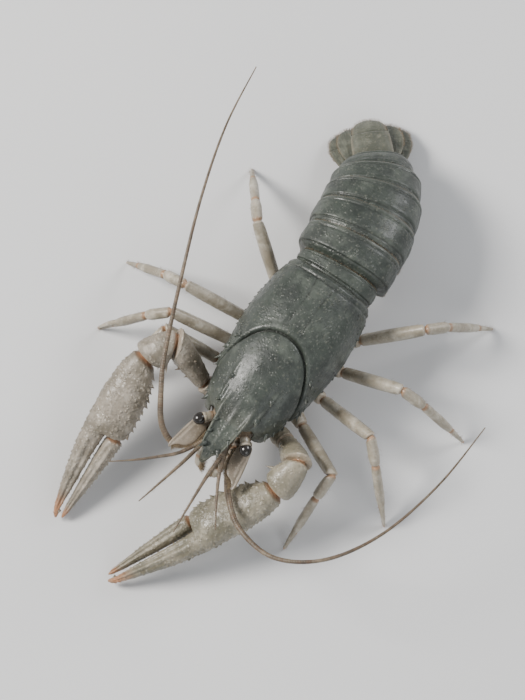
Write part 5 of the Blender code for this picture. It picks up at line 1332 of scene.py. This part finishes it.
def makeClaw(side, bristles):
    # The palm runs on into the fixed finger on its outer side; the moving finger is the inner one
    wrist, tip, planes = makeArm(side, bristles)
    way, length = unit(tip - wrist), float(np.linalg.norm(tip - wrist))
    sign, seed = sides[side], claws[side]["seed"]
    inner = turned(unit(np.cross(way, up)) * sign, way, claws["roll"] * sign)
    upward = unit(np.cross(inner, way)) * sign
    profile = [(share, (outer + inside) / 2, depth, (inside - outer) / 2, lift * sign)
               for share, outer, inside, depth, lift in claws["palm"]]
    shares = spaced((-0.5 / length, 0.06, 0.43, 0.48, 0.93, 1), (23, 119, 25, 139, 23))

    def lines(turns, first, second):
        # Two lines along a finger, each at its cosine round it
        return bell(np.cos(turns), first, 0.2), bell(np.cos(turns), second, 0.18)

    def palmRelief(grid, share, turns):
        # Ridges along the fixed finger, a hollow by the hinge and bigger grains on the upper face. In the
        # tone the ridges are lightened as a painted highlight and the hollows darkened as painted shade
        ridge, second = lines(turns, -0.2, 0.55)
        ridge = ease(share, 0.48, 0.54) * (ridge + 0.7 * second)
        hollow = ease(share, 0.48, 0.54) * sum(lines(turns, 0.2, -0.62))
        swell = 0.35 * bell(share, 0.44, 0.02) * bell(np.cos(turns), 0.55, 0.35)
        big = ease(share, 0.03, 0.08) * ease(share, 0.62, 0.45) * ease(sign * np.sin(turns), -0.4, 0.3)
        big = big * grains(grid, 1.9, seed + 5)
        out = ease(share, 0.97, 0.9) * (0.22 * ridge - 0.2 * hollow) + swell + 0.14 * big
        return out, 0.12 * big + 0.2 * ridge - 0.3 * hollow

    def fingerRelief(grid, share, turns):
        ridge, second = lines(turns, 0.15, -0.55)
        ridge, hollow = ridge + 0.7 * second, sum(lines(turns, -0.2, 0.55))
        body = ease(share, 0.05, 0.14) * ease(share, 0.97, 0.88)
        big = grains(grid, 1.6, seed + 8) * ease(share, 0.03, 0.1) * ease(share, 0.5, 0.3)
        out = body * (0.2 * ridge - 0.18 * hollow) + 0.1 * big
        # Through the tone the ridges get a painted highlight and the hollows painted shade
        return out, body * (0.2 * ridge - 0.3 * hollow) + 0.3 * big

    shape = Shape()
    grid, normals, _ = segment(shape, wrist, tip, profile, inner, planes, seed + 4, shares=shares,
                               extra=palmRelief, **claws["palmLook"])
    for number, (degrees, count, radius, height, last) in enumerate(claws["knobs"]):
        knobRow(shape, grid, normals, shares, claws["knobStart"], last, count, degrees * sign, way * 0.5,
                radius, height, seed + number)
    cuttingEdge(shape, wrist, tip, inner, softCurve(claws["palm"], 2), *claws["palmTeeth"])
    share, high, radius = claws["hook"]
    shape.spike(wrist + (tip - wrist) * share, way + inner * 0.1, radius, length * high, 0.5, inner * 0.2,
                0.3, 0.95)
    shape.piece(f"claw_{side}_palm_shell", claws[side]["paint"], "claw", f"claw_{side}_palm")
    furry = np.broadcast_to(0.1 + 0.9 * ease(shares, 0.3, 0.6)[:, None], grid.shape[:2])
    bristlesOn(bristles, grid, normals, *claws["bristles"]["palm"], int(seed) + 102, way * 0.8, furry)

    shape = Shape()
    root, end = (wrist + way * (length * share) + inner * inward - upward * down
                 for share, inward, down in (claws["fingerRoot"], claws["fingerEnd"]))
    grid, normals, _ = segment(shape, root, end, claws["finger"], inner, (way, None), seed + 9,
                               extra=fingerRelief, **claws["fingerLook"])
    cuttingEdge(shape, root, end, -inner, softCurve(claws["finger"]), *claws["fingerTeeth"])
    shares = np.linspace(0, 1, len(grid))
    for degrees, count, radius, height, last in claws["fingerKnobs"]:
        knobRow(shape, grid, normals, shares, claws["fingerKnobStart"], last, count, degrees * sign,
                way * 0.5, radius, height, seed + degrees)
    shape.piece(f"claw_{side}_finger_shell", claws[side]["paint"], "claw", f"claw_{side}_finger")
    bristlesOn(bristles, grid, normals, *claws["bristles"]["finger"], int(seed) + 103, way * 0.8,
               np.full(grid.shape[:2], 0.4))


clawBristles = Shape()
for side in sides:
    makeClaw(side, clawBristles)
clawBristles.piece("claw_bristles", "bristle", "claw", "claw_left_palm", mapped=True)
print("claws ready")


# Head

eye = {
    "root": (4.5, -42.5, 25.2), "way": (0.62, -0.76, 0.2), "radius": 1.5, "halfLength": 1.75, "length": 2.44,
    "stalkLength": 2.7, "stalk": ((0, 1.25, 1.2), (0.3, 1.2, 1.2), (0.62, 1.18, 1.2), (1, 1.38, 1.38)),
    "stalkLook": {"rows": 44, "columns": 48, "neck": 0.86, "neckLength": 0.5, "rim": 0.12, "grain": 0.03,
                  "spacing": 0.6, "warmNeck": 0.4, "sink": 1.6},
}


def makeEye(side):
    root, way = onSide(eye["root"], side), unit(onSide(eye["way"], side))
    neck, across = root + way * eye["stalkLength"], unit(np.cross(way, up))
    shape = Shape()
    segment(shape, root, neck, eye["stalk"], across, seed=9.0, **eye["stalkLook"])
    shape.piece(f"eyestalk_{side}_shell", "legShell", "leg", f"eyestalk_{side}")
    along = eye["length"] * (1 - (1 - np.linspace(0.02, 1, 48)) ** 1.6)
    radii = eye["radius"] * np.sqrt(np.maximum(1e-5, 1 - ((along - 0.7) / eye["halfLength"]) ** 2))
    shape = Shape()
    shape.tube(ringsAlong(neck + way * (along[:, None] + 0.02), 72, radii, side=across))
    shape.piece(f"eye_{side}_cornea", "eyeGloss", "eye", f"eye_{side}")


def whip(shape, path, radiusAt, ringLength, columns, seed):
    # A feeler of many short rings
    along = distances(path)
    count = int(along[-1] / ringLength)
    places = (np.arange(count)[:, None] + (0.0, 0.22, 0.8)).reshape(-1) / count * along[-1]
    draw = np.random.RandomState(seed)
    radii = radiusAt(places / along[-1]) * np.tile((0.86, 1.0, 1.04), count)
    radii = radii * np.repeat(draw.uniform(0.97, 1.03, count), 3)
    grid = ringsAlong(valuesAt(places, along, path), columns, radii)
    # Each ring is darkened at its narrow start as painted shade between rings; the shift from ring to ring is
    # random
    tone = np.tile((-0.45, 0.0, 0.12), count) + np.repeat(draw.uniform(-0.25, 0.3, count), 3)
    shape.tube(grid, tone[:, None], np.repeat(draw.uniform(0, 0.25, count), 3)[:, None])
    return grid


shortFeeler = {
    "root": (1.65, -42.5, 23.3), "reach": (0.9, -7.0, 0.6),
    # Shares of the stem where each length starts and ends, how deep its neck is sunk, its profile
    "stem": ((0, 0.45, 1.6, ((0, 1.05, 1.1), (1, 1.0, 1.0))),
             (0.45, 1, 0.4, ((0, 1.0, 1.0), (0.5, 1.0, 0.9), (1, 0.75, 0.7)))),
    "look": {"columns": 36, "neck": 0.72, "neckLength": 0.6, "rim": 0.14, "grain": 0.03, "spacing": 0.6,
             "warmNeck": 0.5},
    # The two whips: degrees outward from straight ahead, rise, length
    "fork": {"left": ((4, 6.0, 22.0), (24, 2.5, 18.0)), "right": ((9, 5.5, 21.0), (36, 3.2, 23.0))},
    "radius": ((0, 0.55), (0.25, 0.48), (0.6, 0.34), (1, 0.13)), "ring": 0.5, "droop": 2.2, "curl": 0.25,
    "bristles": (90, 0.7),  # count, length
}


def makeShortFeeler(side, bristles):
    root, stem = onSide(shortFeeler["root"], side), onSide(shortFeeler["reach"], side)
    fork, way = root + stem, unit(stem)
    shape = Shape()
    for start, end, sink, profile in shortFeeler["stem"]:
        segment(shape, root + stem * start, root + stem * end, profile, np.cross(way, up), seed=4.0,
                sink=sink, **shortFeeler["look"])
    share = np.linspace(0.25, 1, 4)[:, None]
    for k, (swing, rise, length) in enumerate(shortFeeler["fork"][side]):
        aside = np.cross(heading(side, 90 - swing), -up) * (0.35 if k else -0.25)
        headings = np.array([heading(side, 90 - swing * (1 + shortFeeler["curl"] * s)) for s in share[:, 0]])
        points = fork + headings * (length * share) + aside
        points = points + up * (rise * share - shortFeeler["droop"] * share ** 2)
        path = smoothPath(np.vstack((fork + onSide((0.1, 1.6, -0.1), side), points)), 24)
        grid = whip(shape, path, softCurve(shortFeeler["radius"]), shortFeeler["ring"], 16, 21 + k)
        if k == 0:
            bristlesOn(bristles, grid, gridNormals(grid), *shortFeeler["bristles"], 300,
                       way * 0.8 - up * 0.6)
    shape.piece(f"antennule_{side}_skin", "feelerSkin", "feeler", f"antennule_{side}")


longFeeler = {
    "root": (4.2, -42.5, 19.2), "baseEnd": (5.1, -50.2, 20.4),
    "base": ((0, 0.34, 1.4, ((0, 2.1, 2.1), (0.7, 2.2, 2.1), (1, 1.7, 1.7))),
             (0.34, 0.62, 0.4, ((0, 1.7, 1.7), (0.6, 1.95, 1.8), (1, 1.5, 1.4))),
             (0.62, 1, 0.4, ((0, 1.5, 1.4), (0.5, 1.45, 1.35), (1, 1.15, 1.1)))),
    "look": {"columns": 52, "neck": 0.76, "neckLength": 0.6, "rim": 0.16, "spacing": 0.8, "warmNeck": 0.55},
    # Spines of the base: root beside its middle line, way, size
    "spines": (((1.55, 0, 0.2), (0.75, -1, 0.1), 1.2), ((1.55, 0, -1.1), (0.55, -1, -0.5), 0.8)),
    "path": {
        "left": ((9.0, -55.8, 21.4), (16.5, -61.5, 25.6), (27.5, -63.0, 30.0), (38.0, -56.5, 32.0),
                 (45.5, -43.5, 31.5), (49.5, -26.0, 29.5), (50.5, -8.0, 27.0)),
        "right": ((-8.8, -53.0, 20.9), (-13.6, -51.2, 23.6), (-17.8, -45.4, 27.2), (-22.2, -37.5, 29.4),
                  (-29.5, -20.0, 32.4), (-36.5, -2.0, 33.4), (-42.0, 16.0, 32.0), (-45.0, 33.0, 28.5)),
    },
    "radius": ((0, 0.85), (0.06, 0.78), (0.3, 0.56), (0.6, 0.38), (0.85, 0.25), (1, 0.13)), "ring": 0.62,
    "bristles": (24, 0.8),  # count, length
}


def makeLongFeeler(side, bristles):
    root, end = onSide(longFeeler["root"], side), onSide(longFeeler["baseEnd"], side)
    base, way = end - root, unit(end - root)
    shape = Shape()
    for k, (first, last, sink, profile) in enumerate(longFeeler["base"]):
        grid, normals, _ = segment(shape, root + base * first, root + base * last, profile, np.cross(way, up),
                                   seed=14.0 + k, sink=sink, **longFeeler["look"])
        bristlesOn(bristles, grid, normals, *longFeeler["bristles"], 330 + k, way * 0.7)
    for place, spineWay, size in longFeeler["spines"]:
        shape.spike(root + base * 0.12 + onSide(place, side), onSide(spineWay, side), 0.42 * size,
                    1.5 * size, 0.6)
    shape.piece(f"antenna_{side}_base_shell", "clawShell", "feeler", f"antenna_{side}_base")
    shape = Shape()
    path = smoothPath((end, *longFeeler["path"][side]), 24)
    whip(shape, path, softCurve(longFeeler["radius"]), longFeeler["ring"], 20, 51)
    shape.piece(f"antenna_{side}_whip", "feelerSkin", "feeler",
                *(f"antenna_{side}_{part}" for part in ("near", "middle", "far")))


blade = {
    "root": (6.0, -42.5, 22.9), "way": (0.2, -1, 0.03), "across": (1, 0.2, 0),
    # Distance from its root, reach to the outer and inner side, half thickness
    "outline": ((0, 0.7, 1.0, 0.5), (1.5, 1.25, 1.65, 0.52), (4, 1.55, 2.5, 0.46), (7, 1.65, 2.75, 0.4),
                (9.3, 1.55, 2.0, 0.34), (10.6, 1.4, 0.3, 0.3), (11.6, 1.2, -0.35, 0.24),
                (12.5, 0.9, -0.6, 0.12)),
}


def makeBlade(side, bristles):
    way = unit(onSide(blade["way"], side))
    across = squareTo(onSide(blade["across"], side), way)
    above = np.cross(way, across) * sides[side]
    root = onSide(blade["root"], side)
    grid, distance, x, top = leafGrid(root, 0 * up, way, across, above, forward, blade["outline"], 0.0, 0.0,
                                      84, 64)
    edge = grid[26:-8, grid.shape[1] // 2]
    if side == "left":
        # Its columns run the other way round, so that the faces look outward on both sides
        grid, x, top = grid[:, ::-1], x[:, ::-1], top[::-1]
    upper = ease(top, -0.1, 0.25)
    ridge = upper * bell(x, 0.2, 0.35) * ease(distance, 0.4, 2) * ease(distance, 10.5, 8)
    rim = upper * bell(x, 1.25, 0.28) * ease(distance, 0.4, 2)
    bumps = grains(grid, 0.5, 3.0)
    shape = Shape()
    shape.tube(grid, 0.3 * ridge + 0.3 * rim + 0.15 * bumps, 0.15,
               0.2 * ridge + 0.2 * rim + 0.03 * bumps - 0.1 * upper * bell(x, 0.75, 0.2))
    shape.piece(f"antenna_{side}_scale_blade", "bladeShell", "claw", f"antenna_{side}_scale")
    edgeHairs(bristles, np.random.RandomState(360), edge, 9, way * 0.9 - across, way * 0.15, (0.7, 1.3),
              0.03, 0.06, 0.1)


mouthLeg = {
    "joints": ((2.5, -39.5, 10.7), (2.8, -43.2, 12.0), (3.1, -48.0, 14.8), (3.0, -50.6, 14.2),
               (2.4, -52.4, 11.0), (1.9, -52.6, 8.4)),
    "lengths": (((0, 1.5, 1.1), (0.6, 1.75, 1.15), (1, 1.5, 1.05)),
                ((0, 1.5, 1.05), (0.5, 1.6, 1.1), (1, 1.15, 1.0)),
                ((0, 1.15, 1.0), (1, 1.0, 0.95)), ((0, 1.0, 0.95), (0.6, 1.0, 0.8), (1, 0.75, 0.65)),
                ((0, 0.75, 0.65), (1, 0.36, 0.32))),
    "look": {"square": 2.2, "rows": 38, "neck": 0.72, "neckLength": 0.6, "rim": 0.12, "spacing": 0.8,
             "warmNeck": 0.5},
    "bristles": (240, 1.5), "tipBristles": (240, 1.2),  # count, length
}


def makeMouthLeg(side, bristles):
    joints, inward = [onSide(p, side) for p in mouthLeg["joints"]], onSide((-1, 0, 0), side)
    ways, planes = jointPlanes(joints, forward)
    hint = np.cross(ways[0], up)
    shape = Shape()
    for k, profile in enumerate(mouthLeg["lengths"]):
        grid, normals, hint = segment(shape, *joints[k:k + 2], profile, hint, planes[k:k + 2], 17.0 + k,
                                      warmTip=0.8 if k == 4 else 0.0, **mouthLeg["look"])
        bristlesOn(bristles, grid, normals, *mouthLeg["bristles" if k < 3 else "tipBristles"], 400 + k,
                   inward * 0.6 + ways[k] * 0.5 - up * 0.2, ease(normals @ inward, 0.1, 0.7))
    shape.piece(f"mouth_leg_{side}_shell", "legShell", "leg", f"mouth_leg_{side}")


mouthPlate = {
    # y, half width, half height, middle height
    "form": ((-45.85, 0.25, 0.2, 17.8), (-45.1, 1.0, 0.5, 17.7), (-44.1, 1.7, 0.7, 17.55),
             (-42.9, 2.6, 0.85, 17.4), (-40.5, 2.9, 0.9, 17.3)),
    # One jaw behind the mouth legs, from its root to the middle
    "jaw": ((4.4, -38.9, 14.9), (2.4, -40.3, 15.2), (0.25, -40.9, 14.8)),
    "jawRadius": ((0, 1.5), (0.5, 1.65), (0.85, 1.15), (1, 0.5)),
}


def makeMouthPlate():
    y = np.linspace(-40.0, -45.85, 34)[:, None]
    half, high, z = (softCurve(mouthPlate["form"], column)(y) for column in (1, 2, 3))
    cos, sin = oval(40)
    grid = np.stack(np.broadcast_arrays(half * cos, y, z + high * sin), -1)[:, ::-1]
    bumps, aside = grains(grid, 0.7, 2.0), np.abs(grid[..., 0])
    keel = bell(aside, 0, 0.35) + 0.7 * bell(aside, 1.5, 0.3)
    shape = Shape()
    shape.tube(grid, 0.3 * bumps + 0.3 * keel, 0.2, 0.12 * bumps + 0.16 * keel)
    for side in sides:
        # The jaws behind the mouth legs, meeting in the middle
        path = smoothPath([onSide(p, side) for p in mouthPlate["jaw"]], 16)
        jaw = ringsAlong(path, 32, softCurve(mouthPlate["jawRadius"])(np.linspace(0, 1, len(path))))
        shape.tube(jaw, 0.25, 0.35, 0.08 * grains(jaw, 0.8, 6.0))
    shape.piece("mouth_plate", "legShell", "underside", "carapace")


sternum = {
    "firstY": -39.2, "lastY": -3.2, "halfWidth": 4.9, "top": 12.6, "legStep": 6.3,
    # y, width share, height of the underside
    "form": ((-39.5, 0.8, 8.9), (-37, 1.0, 8.4), (-20, 1.0, 8.0), (-6, 0.97, 8.2), (-3, 0.7, 9.2)),
}


def makeSternum():
    y = np.linspace(sternum["firstY"], sternum["lastY"], 160)[:, None]
    share, low = (softCurve(sternum["form"], column)(y) for column in (1, 2))
    # A plate between each pair of legs, widest midway, with a seam before and behind it
    place = ((y - legs["hipY"][5]) / sternum["legStep"] + 0.5) % 1.0 - 0.5
    seam, wide = bell(np.abs(place), 0.26, 0.045), 1 - 0.16 * bell(place, 0, 0.22)
    turns = ringTurns(80)
    x, z = sternum["halfWidth"] * signedPower(np.cos(turns), 2 / 2.7), signedPower(np.sin(turns), 2 / 3.0)
    under = ease(z, -0.2, -0.8)
    keel = bell(x, 0, 0.45) * under
    socket = bell(np.abs(x), 4.2, 0.9) * bell(place, 0, 0.2) * under
    # Painted shade: the sunk seams, middle line and leg sockets are darkened in colour
    tone = (0.3 - 0.9 * seam - 0.5 * keel) * under - 0.4 * socket
    x = x * (1 + 0.28 * (z + 1) / 2) * share * (1 - (1 - wide) * under)
    z = low + (sternum["top"] - low) * (z + 1) / 2
    z = z + (0.4 * seam + 0.45 * keel * (1 - seam)) * under + 0.5 * socket
    grid = np.stack(np.broadcast_arrays(x, y, z), -1)
    bumps = grains(grid, 0.8, 12.0)
    shape = Shape()
    shape.tube(grid, tone + 0.25 * bumps, 0.2, 0.07 * bumps)
    shape.piece("sternum_plates", "softSkin", "underside", "sternum")


headBristles = Shape()
makeMouthPlate()
makeSternum()
for side in sides:
    makeEye(side)
    makeShortFeeler(side, headBristles)
    makeLongFeeler(side, headBristles)
    makeBlade(side, headBristles)
    makeMouthLeg(side, headBristles)
headBristles.piece("head_bristles", "bristle", "leg", "mouth_leg_left", mapped=True)
print("head ready")


# Floor, light and camera. Here lengths are in metres

studio = {
    "floorHalf": 1.4, "floorSquares": 60,
    "photoSize": (525, 700), "azimuth": 35.0, "elevation": 79.0, "distance": 1.08, "fill": 0.9,
    "lights": {  # place, size, power, colour
        "key": ((-0.62, -0.25, 0.70), 0.32, 15.0, (1.0, 0.97, 0.93)),
        "fill": ((0.7, -0.45, 0.6), 0.7, 3.2, (0.95, 0.97, 1.0)),
        "rim": ((0.30, 0.75, 0.50), 0.4, 5.0, (0.98, 0.98, 1.0)),
    },
    "roomColour": (0.92, 0.94, 0.97, 1), "roomStrength": 0.42,
}


def makeFloor():
    line = np.linspace(-studio["floorHalf"], studio["floorHalf"], studio["floorSquares"] + 1)
    points = np.stack((*np.meshgrid(line, line), np.zeros((len(line), len(line)))), -1)
    numbers = np.arange(len(line) ** 2).reshape(len(line), -1)
    mesh = bpy.data.meshes.new("floor")
    mesh.from_pydata(points.reshape(-1, 3).tolist(), [], quads(numbers[:, ::-1]))
    mesh.materials.append(paints["floorPaper"])
    floor = bpy.data.objects.new("floor", mesh)
    bpy.context.scene.collection.objects.link(floor)


def setLight():
    for name, (place, size, power, colour) in studio["lights"].items():
        light = bpy.data.lights.new(name, "AREA")
        light.size = size
        light.energy = power
        light.color = colour
        made = bpy.data.objects.new(name, light)
        made.location = place
        made.rotation_euler = Vector(place).to_track_quat("Z", "Y").to_euler()
        bpy.context.scene.collection.objects.link(made)
    world = bpy.data.worlds.new("studio")
    world.use_nodes = True
    shade = world.node_tree.nodes["Background"]
    shade.inputs["Color"].default_value = studio["roomColour"]
    shade.inputs["Strength"].default_value = studio["roomStrength"]
    bpy.context.scene.world = world


def setCamera():
    # The photo's direction and distance, with the lens closed in on this one animal
    low, high = (Vector(p) for p in cadBox)
    az, el = math.radians(studio["azimuth"]), math.radians(studio["elevation"])
    back = Vector((math.sin(az) * math.cos(el), -math.cos(az) * math.cos(el), math.sin(el)))
    data = bpy.data.cameras.new("view")
    camera = bpy.data.objects.new("view", data)
    bpy.context.scene.collection.objects.link(camera)
    camera.location = (low + high) / 2 + back * studio["distance"]
    turn = back.to_track_quat("Z", "Y")
    camera.rotation_euler = turn.to_euler()
    corners = [Vector((x, y, z)) for a, b in (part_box(node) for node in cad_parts)
               for x in (a.x, b.x) for y in (a.y, b.y) for z in (a.z, b.z)]
    seen = [turn.inverted() @ (corner - camera.location) for corner in corners]
    wide, tall = [p.x / -p.z for p in seen], [p.y / -p.z for p in seen]
    photoWide, photoTall = studio["photoSize"]
    span = max(max(tall) - min(tall), (max(wide) - min(wide)) * photoTall / photoWide) / studio["fill"]
    data.sensor_fit = "VERTICAL"
    data.sensor_height = 36
    data.lens = data.sensor_height / span
    data.shift_x = (max(wide) + min(wide)) / 2 / span
    data.shift_y = (max(tall) + min(tall)) / 2 / span
    data.clip_start = 0.01
    bpy.context.scene.camera = camera


makeFloor()
setLight()
setCamera()
print("scene ready")
